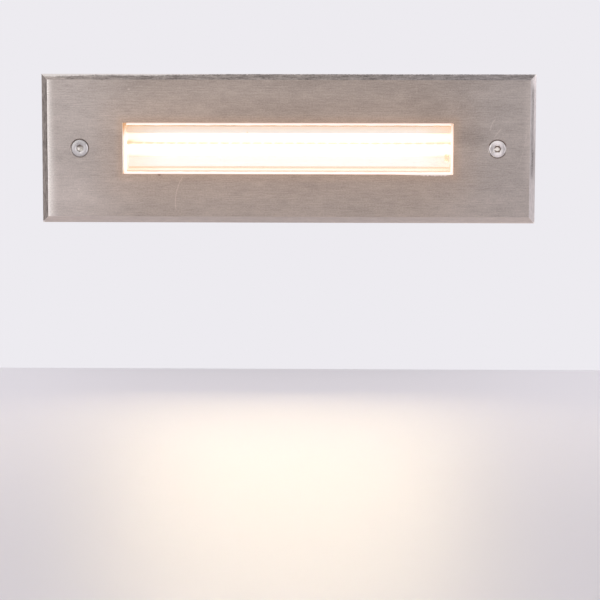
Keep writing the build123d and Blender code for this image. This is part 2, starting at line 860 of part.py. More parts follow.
with BuildPart() as supply_lead_neutral:
    with BuildLine():
        FilletPolyline(
            (block_right - wire_grip, neutral_y, wire_z),
            (block_right + wire_straight, neutral_y, wire_z),
            (driver_left - wire_grip, neutral_y, wire_driver_z),
            (driver_left + lead_entry, neutral_y, wire_driver_z),
            radius=wire_bend,
        )
    with BuildSketch(Plane((block_right - wire_grip, neutral_y, wire_z), z_dir=(1, 0, 0))):
        Circle(wire_radius)
    sweep()
supply_lead_neutral.part.label = "supply_lead_neutral"
export_step(supply_lead_neutral.part, "parts/supply_lead_neutral.step")

# Earth lead, its lug and its screw
with BuildPart() as earth_lead:
    with BuildLine():
        FilletPolyline(
            (block_right - wire_grip, earth_y, wire_z),
            (earth_bend, earth_y, wire_z),
            (earth_bend + earth_drop, earth_y, earth_barrel_z),
            (earth_barrel_right, earth_y, earth_barrel_z),
            radius=wire_bend,
        )
    with BuildSketch(Plane((block_right - wire_grip, earth_y, wire_z), z_dir=(1, 0, 0))):
        Circle(wire_radius)
    sweep()
earth_lead.part.label = "earth_lead"
export_step(earth_lead.part, "parts/earth_lead.step")

with BuildPart() as earth_lug:
    with BuildSketch(Plane.XY.offset(block_floor)):
        with Locations((earth_x, earth_y)):
            Circle(earth_ring_radius)
        with Locations(((earth_x + earth_barrel_left) / 2, earth_y)):
            Rectangle(earth_x - earth_barrel_left, earth_tongue)
        with Locations((earth_x, earth_y)):
            Circle(earth_ring_bore, mode=Mode.SUBTRACT)
    extrude(amount=earth_lug_thickness)
    with BuildSketch(Plane.YZ.offset(earth_barrel_left)):
        with Locations((earth_y, earth_barrel_z)):
            Circle(earth_barrel_radius)
    extrude(amount=earth_barrel_length)
    with BuildSketch(Plane.YZ.offset(earth_barrel_left)):
        with Locations((earth_y, earth_barrel_z)):
            Circle(earth_barrel_bore)
    extrude(amount=earth_barrel_length, mode=Mode.SUBTRACT)
earth_lug.part.label = "earth_lug"
export_step(earth_lug.part, "parts/earth_lug.step")

with BuildPart() as earth_screw:
    with BuildSketch(Plane.XY.offset(block_floor + earth_lug_thickness)):
        with Locations((earth_x, earth_y)):
            Circle(earth_head_radius)
    extrude(amount=earth_head_height)
    with BuildSketch(Plane.XY.offset(block_floor + earth_lug_thickness)):
        with Locations((earth_x, earth_y)):
            Circle(earth_screw_radius)
    extrude(amount=-earth_lug_thickness - earth_screw_bite)
    with BuildSketch(Plane.XY.offset(block_floor + earth_lug_thickness + earth_head_height)):
        with Locations((earth_x, earth_y)):
            Rectangle(earth_slot_width, 2 * earth_head_radius)
    extrude(amount=-earth_slot_depth, mode=Mode.SUBTRACT)
earth_screw.part.label = "earth_screw"
export_step(earth_screw.part, "parts/earth_screw.step")

# Cable gland
gland_axis = Axis((gland_x, 0, 0), (0, 1, 0))
with BuildPart() as gland_body:
    with BuildSketch(Plane.XZ.offset(-gland_front)):
        with Locations((gland_x, 0)):
            Circle(gland_thread)
    extrude(amount=gland_front - gland_flange_front)
    with BuildSketch(Plane.XZ.offset(-gland_flange_front)):
        with Locations((gland_x, 0)):
            RegularPolygon(gland_flats / 2, 6, major_radius=False)
    extrude(amount=-gland_hex)
    with BuildSketch(Plane.XZ.offset(-gland_hex_back)):
        with Locations((gland_x, 0)):
            Circle(gland_collar_radius)
    extrude(amount=-gland_collar_length)
    with BuildSketch(Plane.XZ.offset(-gland_front)):
        with Locations((gland_x, 0)):
            Circle(gland_wire_bore)
    extrude(amount=gland_front - gland_seat_y, mode=Mode.SUBTRACT)
    with BuildSketch(Plane.XZ.offset(-gland_seat_y)):
        with Locations((gland_x, 0)):
            Circle(gland_seal_radius + gland_seal_gap)
    extrude(amount=gland_seat_y - gland_collar_back, mode=Mode.SUBTRACT)
gland_body.part.label = "gland_body"
export_step(gland_body.part, "parts/gland_body.step")

with BuildPart() as gland_washer:
    with BuildSketch(Plane.XZ.offset(-casing_back)):
        with Locations((gland_x, 0)):
            Circle(gland_washer_radius)
            Circle(gland_hole, mode=Mode.SUBTRACT)
    extrude(amount=-gland_washer_thickness)
gland_washer.part.label = "gland_washer"
export_step(gland_washer.part, "parts/gland_washer.step")

with BuildPart() as gland_locknut:
    with BuildSketch(Plane.XZ.offset(-casing_floor)):
        with Locations((gland_x, 0)):
            RegularPolygon(gland_flats / 2, 6, major_radius=False)
            Circle(gland_locknut_bore, mode=Mode.SUBTRACT)
    extrude(amount=gland_locknut_height)
gland_locknut.part.label = "gland_locknut"
export_step(gland_locknut.part, "parts/gland_locknut.step")

with BuildPart() as gland_seal:
    with BuildSketch(Plane.XZ.offset(-gland_seat_y)):
        with Locations((gland_x, 0)):
            Circle(gland_seal_radius)
            Circle(gland_seal_bore, mode=Mode.SUBTRACT)
    extrude(amount=gland_seat_y - gland_seal_back)
gland_seal.part.label = "gland_seal"
export_step(gland_seal.part, "parts/gland_seal.step")

with BuildPart() as gland_nut:
    with BuildSketch(Plane.XZ.offset(-gland_nut_front)):
        with Locations((gland_x, 0)):
            RegularPolygon(gland_nut_flats / 2, 6, major_radius=False)
    extrude(amount=gland_tip - gland_nut_length)
    with BuildSketch(Plane.XY):
        with BuildLine():
            Polyline(
                (gland_x, gland_nut_front),
                (gland_x + gland_nut_skirt, gland_nut_front),
                (gland_x + gland_nut_skirt, gland_nut_back - gland_tip),
                (gland_x + gland_nut_tip, gland_nut_back),
                (gland_x, gland_nut_back),
                close=True,
            )
        make_face()
    revolve(axis=gland_axis)
    with BuildSketch(Plane.XY):
        with BuildLine():
            Polyline(
                (gland_x, gland_nut_front),
                (gland_x + gland_collar_radius + gland_nut_gap, gland_nut_front),
                (gland_x + gland_collar_radius + gland_nut_gap, gland_nut_back - gland_dome),
                (gland_x + gland_nut_mouth, gland_nut_back),
                (gland_x, gland_nut_back),
                close=True,
            )
        make_face()
    revolve(axis=gland_axis, mode=Mode.SUBTRACT)
gland_nut.part.label = "gland_nut"
export_step(gland_nut.part, "parts/gland_nut.step")

# Wall box
with BuildPart() as wall_box:
    with BuildSketch(Plane.XZ):
        RectangleRounded(box_width, box_height, box_corner)
    extrude(amount=-box_depth)
    fillet(wall_box.faces().sort_by(Axis.Y)[-1].edges(), radius=box_round)
    with BuildSketch(Plane.YZ.offset(-mortar_rib_length / 2)):
        with Locations((mortar_rib_first + (mortar_rib_count - 1) * mortar_rib_pitch / 2, 0)):
            with GridLocations(mortar_rib_pitch, 0, mortar_rib_count, 1):
                Rectangle(mortar_rib_width, box_height + 2 * mortar_rib_height)
    extrude(amount=mortar_rib_length)
    with BuildSketch(Plane.XZ):
        RectangleRounded(box_inner_width, box_inner_height, box_corner - box_wall)
    extrude(amount=-box_floor, mode=Mode.SUBTRACT)
    with BuildSketch(Plane.XZ.offset(-screw_boss_front)):
        with Locations(*screw_places):
            Circle(screw_boss_radius)
        with GridLocations(screw_x + box_inner_width / 2 + box_wall / 2, 0, 2, 1):
            Rectangle(box_inner_width / 2 + box_wall / 2 - screw_x, screw_boss_web)
    extrude(amount=screw_boss_front - box_floor)
    with BuildSketch(Plane.XZ.offset(-grommet_panel_front)):
        with Locations((gland_x, 0)):
            Circle(grommet_boss_radius)
    extrude(amount=-grommet_boss_height)
    with BuildSketch(Plane.XZ.offset(fixing_pad_height - box_floor)):
        with Locations(*fixing_places):
            Circle(fixing_pad_radius)
    extrude(amount=-fixing_pad_height)
    with BuildSketch(Plane.XZ.offset(-screw_boss_front)):
        with Locations(*screw_places):
            Circle(insert_radius)
    extrude(amount=-insert_length, mode=Mode.SUBTRACT)
    with BuildSketch(Plane.XZ.offset(-screw_boss_front - insert_length)):
        with Locations(*screw_places):
            Circle(insert_relief)
    extrude(amount=-insert_relief_length, mode=Mode.SUBTRACT)
    with BuildSketch(Plane.XZ.offset(-grommet_panel_front)):
        with Locations((gland_x, 0)):
            Circle(grommet_hole)
    extrude(amount=grommet_panel_front - box_depth, mode=Mode.SUBTRACT)
    with BuildSketch(Plane.XZ.offset(-grommet_panel_back)):
        with Locations((gland_x, 0)):
            Circle(grommet_radius + grommet_recess_gap)
    extrude(amount=-grommet_recess, mode=Mode.SUBTRACT)
    with BuildSketch(Plane.XZ.offset(fixing_pad_height - box_floor)):
        with Locations(*fixing_places):
            Circle(fixing_radius)
    extrude(amount=-fixing_pad_height - box_wall, mode=Mode.SUBTRACT)
    with BuildSketch(Plane.YZ.offset(box_width / 2 - knockout_groove)):
        with Locations((knockout_y, -knockout_z), (knockout_y, knockout_z)):
            Circle(knockout_radius)
            Circle(knockout_radius - knockout_groove, mode=Mode.SUBTRACT)
    extrude(amount=knockout_groove, mode=Mode.SUBTRACT)
    with BuildSketch(Plane.YZ.offset(-box_width / 2)):
        with Locations((knockout_y, -knockout_z), (knockout_y, knockout_z)):
            Circle(knockout_radius)
            Circle(knockout_radius - knockout_groove, mode=Mode.SUBTRACT)
    extrude(amount=knockout_groove, mode=Mode.SUBTRACT)
wall_box.part.label = "wall_box"
export_step(wall_box.part, "parts/wall_box.step")

with BuildPart() as box_inserts:
    with BuildSketch(Plane.XZ.offset(-screw_boss_front)):
        with Locations(*screw_places):
            Circle(insert_radius - insert_gap)
            Circle(insert_bore, mode=Mode.SUBTRACT)
    extrude(amount=-insert_length)
box_inserts.part.label = "box_inserts"
export_step(box_inserts.part, "parts/box_inserts.step")

with BuildPart() as entry_grommet:
    with BuildSketch(Plane.XY):
        with BuildLine():
            Polyline(
                (gland_x + grommet_bore, grommet_front),
                (gland_x + grommet_radius, grommet_front),
                (gland_x + grommet_radius, grommet_panel_front),
                (gland_x + grommet_neck, grommet_panel_front),
                (gland_x + grommet_neck, grommet_panel_back),
                (gland_x + grommet_radius, grommet_panel_back),
                (gland_x + grommet_radius, grommet_panel_back + grommet_flange),
                (gland_x + grommet_bore, grommet_panel_back + grommet_flange),
                close=True,
            )
        make_face()
    revolve(axis=gland_axis)
entry_grommet.part.label = "entry_grommet"
export_step(entry_grommet.part, "parts/entry_grommet.step")

# Face screws
with BuildPart() as left_screw:
    with BuildSketch(Plane.XY):
        with BuildLine():
            Polyline(*screw_outline(-screw_x), close=True)
        make_face()
    revolve(axis=Axis((-screw_x, 0, 0), (0, 1, 0)))
    with BuildSketch(Plane.XZ.offset(-head_front)):
        with Locations((-screw_x, 0)):
            RegularPolygon(socket_flats / 2, 6, major_radius=False, rotation=30)
    extrude(amount=-socket_depth, mode=Mode.SUBTRACT)
left_screw.part.label = "left_screw"
export_step(left_screw.part, "parts/left_screw.step")

with BuildPart() as right_screw:
    with BuildSketch(Plane.XY):
        with BuildLine():
            Polyline(*screw_outline(screw_x), close=True)
        make_face()
    revolve(axis=Axis((screw_x, 0, 0), (0, 1, 0)))
    with BuildSketch(Plane.XZ.offset(-head_front)):
        with Locations((screw_x, 0)):
            RegularPolygon(socket_flats / 2, 6, major_radius=False, rotation=30)
    extrude(amount=-socket_depth, mode=Mode.SUBTRACT)
right_screw.part.label = "right_screw"
export_step(right_screw.part, "parts/right_screw.step")

# Captive rings
with BuildPart() as left_retainer:
    with BuildSketch(Plane.XZ.offset(-retainer_front)):
        with Locations((-screw_x, 0)):
            Circle(retainer_radius)
            Circle(retainer_bore, mode=Mode.SUBTRACT)
        with Locations((-screw_x, -retainer_radius / 2)):
            Rectangle(retainer_slit, retainer_radius, mode=Mode.SUBTRACT)
    extrude(amount=-retainer_width)
left_retainer.part.label = "left_retainer"
export_step(left_retainer.part, "parts/left_retainer.step")

with BuildPart() as right_retainer:
    with BuildSketch(Plane.XZ.offset(-retainer_front)):
        with Locations((screw_x, 0)):
            Circle(retainer_radius)
            Circle(retainer_bore, mode=Mode.SUBTRACT)
        with Locations((screw_x, -retainer_radius / 2)):
            Rectangle(retainer_slit, retainer_radius, mode=Mode.SUBTRACT)
    extrude(amount=-retainer_width)
right_retainer.part.label = "right_retainer"
export_step(right_retainer.part, "parts/right_retainer.step")
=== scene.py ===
import json
import math
from functools import partialmethod

import bmesh
import bpy
import numpy as np
from mathutils import Matrix, Vector

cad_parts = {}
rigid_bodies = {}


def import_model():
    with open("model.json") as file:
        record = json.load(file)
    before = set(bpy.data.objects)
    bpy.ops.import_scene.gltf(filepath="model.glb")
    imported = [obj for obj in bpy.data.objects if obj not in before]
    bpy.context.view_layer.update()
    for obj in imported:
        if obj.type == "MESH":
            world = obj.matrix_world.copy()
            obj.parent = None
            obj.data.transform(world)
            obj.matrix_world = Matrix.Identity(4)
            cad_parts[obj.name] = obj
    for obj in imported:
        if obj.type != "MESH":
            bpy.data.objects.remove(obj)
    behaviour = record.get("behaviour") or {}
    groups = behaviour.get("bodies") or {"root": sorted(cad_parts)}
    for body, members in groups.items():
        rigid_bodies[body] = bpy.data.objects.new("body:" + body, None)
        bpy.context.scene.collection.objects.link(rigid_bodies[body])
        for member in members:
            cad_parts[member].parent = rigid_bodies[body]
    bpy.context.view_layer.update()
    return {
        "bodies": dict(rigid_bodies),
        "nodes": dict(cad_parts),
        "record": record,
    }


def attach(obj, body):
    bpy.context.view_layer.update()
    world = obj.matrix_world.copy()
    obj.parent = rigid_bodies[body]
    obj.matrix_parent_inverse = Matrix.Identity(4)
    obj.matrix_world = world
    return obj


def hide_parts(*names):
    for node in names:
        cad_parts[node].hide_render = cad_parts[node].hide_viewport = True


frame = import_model()
nodes = frame["nodes"]
scene = bpy.context.scene
mm = 0.001
screwX = 97.25  # millimetres from the middle to each face screw
finishes = {}  # every material by its name
print("frame loaded,", len(nodes), "nodes")


def paint(red, green, blue):
    # a colour as it is seen on a screen, 0 to 255, turned into light values
    shown = np.array([red, green, blue]) / 255
    light = np.where(shown <= 0.04045, shown / 12.92, ((shown + 0.055) / 1.055) ** 2.4)
    return (*[float(value) for value in light], 1)


class Wire:  # a node's socket that takes part in sums
    def __init__(self, shade, socket):
        self.shade = shade
        self.socket = socket

    def maths(self, operation, *others):
        return self.shade.maths(operation, self, *others)

    def __rsub__(self, other):
        return self.shade.maths("SUBTRACT", other, self)

    __add__ = __radd__ = partialmethod(maths, "ADD")
    __sub__ = partialmethod(maths, "SUBTRACT")
    __mul__ = __rmul__ = partialmethod(maths, "MULTIPLY")
    __truediv__ = partialmethod(maths, "DIVIDE")
    __pow__ = partialmethod(maths, "POWER")
    __gt__ = partialmethod(maths, "GREATER_THAN")
    __lt__ = partialmethod(maths, "LESS_THAN")
    __abs__ = partialmethod(maths, "ABSOLUTE")
    __neg__ = partialmethod(maths, "MULTIPLY", -1)
    fract = partialmethod(maths, "FRACT")
    sine = partialmethod(maths, "SINE")
    least = partialmethod(maths, "MINIMUM")
    most = partialmethod(maths, "MAXIMUM")


class Shade:  # a node tree that is written as sums
    def __init__(self, tree):
        self.tree = tree

    def node(self, kind, settings, inputs, output=0):
        made = self.tree.nodes.new(kind)
        for name, value in settings.items():
            setattr(made, name, value)
        for name, value in inputs.items():
            if isinstance(value, Wire):
                self.tree.links.new(value.socket, made.inputs[name])
            else:
                made.inputs[name].default_value = value
        return Wire(self, made.outputs[output])

    def maths(self, operation, *terms):
        return self.node("ShaderNodeMath", {"operation": operation}, dict(enumerate(terms)))

    def split(self, vector, axes="XYZ"):
        return [self.node("ShaderNodeSeparateXYZ", {}, {0: vector}, axis) for axis in axes]

    def step(self, value, low, high):  # 0 below low, 1 above high, smooth between
        sockets = {"Value": value, "From Min": low, "From Max": high}
        return self.node("ShaderNodeMapRange", {"interpolation_type": "SMOOTHSTEP"}, sockets)

    def near(self, value, inner, outer):  # 1 within inner of zero on either side, 0 beyond outer
        return 1 - self.step(abs(value), inner, outer)

    def spot(self, x, z, placeX, placeZ, halfWidth, halfHeight, core):  # 1 in its core, 0 outside
        out = (((x - placeX) / halfWidth) ** 2 + ((z - placeZ) / halfHeight) ** 2) ** 0.5
        return 1 - self.step(out, core, 1)

    def mix(self, amount, first, second):
        return self.node("ShaderNodeMix", {"data_type": "RGBA"}, {0: amount, 6: first, 7: second}, 2)

    def scale(self, colour, level):
        vector = colour if isinstance(colour, Wire) else colour[:3]
        return self.node("ShaderNodeVectorMath", {"operation": "SCALE"}, {0: vector, "Scale": level})


class Finish(Shade):  # a material with one Principled shader, in millimetres
    def __init__(self, name, fixed):
        finishes[name] = bpy.data.materials.new(name)
        finishes[name].use_nodes = True
        super().__init__(finishes[name].node_tree)
        self.shader = self.tree.nodes["Principled BSDF"]
        for socket, value in fixed.items():
            self.shader.inputs[socket].default_value = value
        metres = self.node("ShaderNodeTexCoord", {}, {}, "Object")
        self.place = self.scale(metres, 1 / mm)

    def axes(self, names="XYZ"):
        return self.split(self.place, names)

    def stretched(self, waves):  # waves per millimetre, one number for all axes or three
        vector = waves if isinstance(waves, tuple) else (waves, waves, waves)
        return self.node("ShaderNodeVectorMath", {"operation": "MULTIPLY"}, {0: self.place, 1: vector})

    def noise(self, waves, detail=2, roughness=0.5):  # from -0.5 to 0.5
        sockets = {"Vector": self.stretched(waves), "Scale": 1, "Detail": detail, "Roughness": roughness}
        return self.node("ShaderNodeTexNoise", {}, sockets) - 0.5

    def feed(self, socket, wire):
        self.tree.links.new(wire.socket, self.shader.inputs[socket])

    def tint(self, socket, colour, level):
        self.feed(socket, self.scale(colour, level))

    def relief(self, height, depth, strength):  # depth in millimetres
        sockets = {"Height": height, "Distance": depth * mm, "Strength": strength}
        self.feed("Normal", self.node("ShaderNodeBump", {}, sockets))


# finishes of the metal pieces; a spot is x, z, half width, half height and the share of it that is full

plateLook = {  # sizes and places in millimetres
    "halfWidth": 115, "halfHeight": 34.5, "bevel": 2.8, "window": (77, 11.9),  # half width, height
    "screw": screwX, "sinkRim": (4.35, 4.75), "sinkDepth": (-3.99, -3.85),
    "steel": paint(178, 164, 153), "endSteel": paint(182, 172, 165), "ends": (55, 110),
    "groundSteel": paint(176, 166, 158), "coolSteel": paint(178, 171, 169), "windowGlowTint": paint(196, 166, 142),
    "highlight": paint(254, 248, 240), "sinkShadowTone": paint(116, 94, 80), "stained": paint(112, 82, 66),
    "smear": paint(246, 234, 226), "filmGlow": paint(255, 250, 242), "filmGlowWarm": paint(240, 214, 184),
    "roughness": 0.36, "anisotropy": 0.35, "grindDepth": 0.012,
    "grinding": {  # waves per millimetre on x, y and z, detail, roughness
        "hairs": ((0.14, 1, 5), 3, 0.6), "dashes": ((0.18, 1, 2), 2, 0.6),
        "grain": ((1.3, 1, 2), 2, 0.65), "streaks": ((0.03, 1, 2.2), 3, 0.6),
        "blotches": ((0.11, 0.1, 0.24), 3, 0.6), "clouds": ((0.018, 0.1, 0.07), 2, 0.5),
        "ground": ((0.7, 0.9, 1.9), 4, 0.7), "drawn": ((0.16, 0.9, 1.9), 4, 0.7),
        "groundSide": ((1.9, 0.9, 0.3), 3, 0.7), "winding": ((0, 0, 0.11), 3, 0.5),
        "wave": ((0.09, 0, 0), 3, 0.7), "ragged": ((0.55, 0, 0), 4, 0.75),
    },
    # faceFall is painted shade: the face gets darker upwards
    "faceTone": 0.985, "faceFall": 0.0016,  # darker by the second for each millimetre up
    "faceGrain": {  # share of each in the tone of the face
        "hairs": 0.26, "dashes": 0.46, "grain": 0.62, "streaks": 0.3, "blotches": 0.26, "clouds": 0.34,
    },
    "darkStreaks": (85, 5.4, 15, 7, 0.1),
    "fleck": (-74.1, 27.4, 0.9, 0.346, 0.222), "stain": (-60.1, -12.3, 0.9, 0.5, 0.333),
    "rub": (50, 58, -15.9),  # from x, to x, z
    "filmWidth": 0.2, "smearRun": (50, 68, 72.5),  # x where the smear starts, is full and fades
    "arcs": (  # centre x, z, radius, lowest z, highest z, least x, most x, brightness
        (-30.6, -25, 22, -28.6, -13.2, -60, -40, 0.24),
        (100.2, 8.9, 6.3, 8.6, 13.7, 93, 97, 0.24),
        (73, 8.4, 37.4, -9.4, 12.5, 104, 112, 0.1),
    ),
    "nicks": (  # start x, z, end x, z, brightness
        (98.8, 9.3, 97.3, 7.6, 0.24), (97.3, 7.6, 95.5, 5.1, 0.22), (-98.2, -18.5, -96.2, -21.8, 0.13),
        (79.2, 21.2, 78.6, 18, 0.13), (59.4, 29.9, 59.6, 25.3, 0.09),
    ),
}


class PlateFinish(Finish):  # the plate's zones and its grinding, for the functions below
    def __init__(self, look):
        super().__init__("brushed_stainless", {"Metallic": 1, "Anisotropic": look["anisotropy"]})
        self.look = look
        self.x, self.y, self.z = x, y, z = self.axes()
        self.right = x > 0
        self.left = x < 0
        self.top = z > 0
        self.innerX = look["halfWidth"] - look["bevel"]
        self.innerZ = look["halfHeight"] - look["bevel"]
        self.side = abs(x) - self.innerX
        self.rise = abs(z) - self.innerZ
        self.onSide = (self.side > 0) * (self.side > self.rise)
        self.onRise = (self.rise > 0) * (1 - self.onSide)
        self.onFace = (1 - self.onSide) * (1 - self.onRise)
        self.upBevel = self.rise / look["bevel"]  # 0 at the face, 1 at the outer edge
        self.outBevel = self.side / look["bevel"]
        self.toRight = self.step(x, 10, 90)
        pastX = (abs(x) - look["window"][0]).most(0)
        pastZ = (abs(z) - look["window"][1]).most(0)
        self.fromWindow = (pastX ** 2 + pastZ ** 2) ** 0.5
        for name, waves in look["grinding"].items():
            setattr(self, name, self.noise(*waves))  # self.hairs, self.dashes and so on


def faceLevel(plate):
    # painted light and shade on the face: brightest at its lower left, lighter low at the right end, darker
    # upwards, and darker in streaks between the window and the right screw
    look, x, z, step = plate.look, plate.x, plate.z, plate.step
    level = look["faceTone"] - look["faceFall"] * z
    for name, weight in look["faceGrain"].items():
        level = level + weight * getattr(plate, name)
    darkStreaks = plate.spot(x, z, *look["darkStreaks"]) * (0.7 + 1.6 * plate.streaks)
    rightEnd = (1 - step(plate.innerX - x, 0, 4)) * step(z, -24, -8)
    lowerLeft = step(-x, 50, 95) * step(-z, 6, 24)
    level = level - 0.3 * darkStreaks + 0.16 * rightEnd + 0.09 * lowerLeft
    return level - 0.04 * step(x, 40, 70) - 0.06 * step(z, 25, 31)


def riseLevel(plate):
    # painted reflections on the top and bottom bevels: the top one is coarse and dark, least so at its left
    # end; the bottom one is lighter, with a painted highlight along its lower edge
    x, top, step = plate.x, plate.top, plate.step
    topCoarse = (1 - 0.4 * plate.toRight) * top
    lowerEdge = step(plate.upBevel, 0.75, 0.95) * step(x, 0, 100) * (1 - top)
    leftLift = 0.12 * step(-x, 78, 100) + 0.3 * step(-x, 100, 113)
    level = 0.84 + 0.7 * (1 - top) + (leftLift - 0.08 * plate.toRight) * top + 0.3 * lowerEdge
    level = level + (0.7 + 1.7 * topCoarse) * plate.drawn + (0.3 + 0.7 * topCoarse) * plate.ground
    return level + 0.9 * top * plate.grain


def sideLevel(plate):
    # painted reflections on the side bevels: the left one is coarse and darker; the right one has a winding
    # painted dark line and is brightest at its ends
    z, outward, step = plate.z, plate.outBevel, plate.step
    ground, groundSide = plate.ground, plate.groundSide
    # groove here is a painted dark line in the tone, not a cut in the shape
    groove = plate.near(outward - 0.42 - 0.5 * plate.winding, 0.06, 0.3)
    groove = groove * step(z, -19, -9) * (1 - step(z, 26, 31)) * (1 - 0.35 * plate.top)
    lowEnd = 0.2 * (1 - step(z, -17, -9)) + 0.1 * (1 - step(z, -28, -19))
    outerStrip = step(outward, 0.56, 0.74) * step(z, -2, 14)
    highEnd = step(z, 27, 31) * step(outward, 0.1, 0.5)
    rightLevel = lowEnd + 0.04 - (0.36 + 1.6 * ground) * groove + 0.3 * outerStrip + 0.35 * highEnd
    leftLevel = 1.2 * groundSide - 0.22 + 0.14 * step(outward, 0.2, 0.8)
    return 0.98 + rightLevel * plate.right + leftLevel * plate.left + 0.9 * groundSide + 0.3 * ground


def arrisLines(plate):
    # painted highlights: thin bright lines where the bevels meet the face and each other
    side, rise = plate.side, plate.rise
    sideArris = plate.near(side, 0, 0.22) * (abs(plate.z) < plate.innerZ)
    riseArris = plate.near(rise, 0, 0.22) * (abs(plate.x) < plate.innerX)
    mitre = plate.near(side - rise, 0, 0.28) * (side > 0) * (rise > 0)
    return 0.12 * sideArris + 0.08 * riseArris + 0.3 * mitre


def scratchLevel(plate):
    # hand scratches: a fleck, a rubbed spot under the window, arcs and straight nicks
    look, x, z = plate.look, plate.x, plate.z
    rubStart, rubEnd, rubZ = look["rub"]
    rub = plate.near(z - rubZ, 0.1, 0.5) * (x > rubStart) * (x < rubEnd)
    level = 0.5 * plate.spot(x, z, *look["fleck"]) + 0.14 * rub * plate.step(plate.hairs, -0.05, 0.1)
    for centreX, centreZ, radius, lowZ, highZ, leastX, mostX, bright in look["arcs"]:
        away = ((x - centreX) ** 2 + (z - centreZ) ** 2) ** 0.5 - radius
        inside = (z > lowZ) * (z < highZ) * (x > leastX) * (x < mostX)
        level = level + bright * plate.near(away, 0.05, 0.28) * inside
    for startX, startZ, endX, endZ, bright in look["nicks"]:
        length = math.hypot(endX - startX, endZ - startZ)
        aimX = (endX - startX) / length
        aimZ = (endZ - startZ) / length
        along = (x - startX) * aimX + (z - startZ) * aimZ
        away = (x - startX) * aimZ - (z - startZ) * aimX
        level = level + bright * plate.near(away, 0.05, 0.32) * (along > 0) * (along < length)
    return level


def steelTone(plate):
    # cooler towards the two ends and on the right and upper right bevels, and painted warmer beside the
    # window with the window's glow
    look, fromWindow = plate.look, plate.fromWindow
    mix, step = plate.mix, plate.step
    tone = mix(step(abs(plate.x), *look["ends"]), look["steel"], look["endSteel"])
    windowGlow = 0.36 * (1 - step(fromWindow, 0, 5)) + 0.18 * (1 - step(fromWindow, 2, 17))
    tone = mix(windowGlow, tone, look["windowGlowTint"])
    tone = mix(1 - plate.onFace, tone, look["groundSteel"])
    cool = (plate.onSide * plate.right).most(0.7 * plate.toRight * plate.top * plate.onRise)
    return mix(cool, tone, look["coolSteel"])


def topHighlightStrip(plate):
    # a painted highlight on the top bevel, in a wavy strip that is widest at the left end
    start = 0.46 + 0.2 * plate.step(plate.x, -110, -92) + 0.24 * plate.step(plate.x, -70, -10)
    inside = plate.upBevel - start - 0.36 * plate.wave + 0.5 * plate.grain
    return plate.step(inside, -0.05, 0.25) * plate.top * plate.onRise


def leftEdgeHighlight(plate):
    # a painted highlight along the left edge of the face, where it is rolled over a little by the belt, more
    # so lower down
    lower = plate.step(-plate.z, -28, 26)
    inward = plate.x + plate.innerX + 2 * plate.dashes
    rolled = (1 - (inward / (4.6 + 2.6 * lower)).most(0)).most(0) ** 3
    return rolled * plate.onFace * (0.78 + 0.22 * lower + 1.1 * plate.grain)


def sunkHoles(plate, colour):
    # the countersinks are painted bright with a highlight and painted dark with shadow above and below; the
    # right one has a painted glint at each side
    look, z, right, step = plate.look, plate.z, plate.right, plate.step
    out = ((abs(plate.x) - look["screw"]) ** 2 + z ** 2) ** 0.5
    sink = (1 - step(out, *look["sinkRim"])) * step(plate.y, *look["sinkDepth"])
    lowSinkShadow = (0.5 + 0.2 * right) * step(-z, 1, 3.2)
    sinkShadow = (0.62 + 0.13 * right) * sink * step(z, -4.5, 2.5).most(lowSinkShadow)
    glint = 0.6 * sink * plate.near(z, 0.8, 2.4) * right
    colour = plate.mix(0.3 * sink, colour, look["highlight"])
    colour = plate.mix(sinkShadow, colour, look["sinkShadowTone"])
    return plate.mix(glint, colour, look["highlight"])


def siliconeTraces(plate, colour):
    # a ragged smear under the window's right end, and a thin film beside its left edge, painted bright as the
    # glow of the lit silicone, and warm where little light comes through
    look, x, z = plate.look, plate.x, plate.z
    mix, step = plate.mix, plate.step
    windowX, windowZ = look["window"]
    smearStart, smearFull, smearFade = look["smearRun"]
    fading = step(x, smearStart, smearFull) * (1 - step(x, smearFade, windowX))
    reach = fading * (2.2 * plate.ragged + 0.55)
    smear = (1 - step(plate.fromWindow - reach, -0.12, 0.2)) * (z < -windowZ) * (x > smearStart)
    colour = mix(0.85 * smear, colour, look["smear"])
    filmEnd = look["filmWidth"] + 0.2 * plate.groundSide
    filmGlow = (1 - step(plate.fromWindow - filmEnd, -0.06, 0.1)) * (x < 0.1 - windowX) * (abs(z) < windowZ)
    warm = step(z, 4, 10).most(step(-z, 9, windowZ))
    return mix(0.95 * filmGlow, colour, mix(warm, look["filmGlow"], look["filmGlowWarm"]))


def brushedPlate(look):
    # brushed along x; the bevels are ground along their own length and show more of the grinding
    plate = PlateFinish(look)
    level = faceLevel(plate) * plate.onFace + riseLevel(plate) * plate.onRise
    level = level + sideLevel(plate) * plate.onSide + arrisLines(plate) + scratchLevel(plate) * plate.onFace
    # painted highlights: the wavy strip on the top bevel, the left edge of the face, and the corners but for
    # the upper left one
    strip = topHighlightStrip(plate)
    cornerTip = plate.step(plate.side.least(plate.rise), 1.7, 2.4) * (1 - plate.left * plate.top)
    bright = (0.95 * strip).most(leftEdgeHighlight(plate)).most(0.8 * cornerTip)
    colour = plate.mix(bright, plate.scale(steelTone(plate), level), look["highlight"])
    colour = siliconeTraces(plate, sunkHoles(plate, colour))
    stain = plate.spot(plate.x, plate.z, *look["stain"])
    plate.feed("Base Color", plate.mix(0.75 * stain, colour, look["stained"]))
    plate.feed("Roughness", look["roughness"] + 0.16 * plate.streaks + 0.1 * plate.hairs - 0.06 * strip)
    bevelHeight = 0.8 * (plate.ground + 0.5) * (1 - plate.onFace)
    plate.relief(0.7 * plate.hairs + 0.5 * plate.streaks + bevelHeight, look["grindDepth"], 0.5)


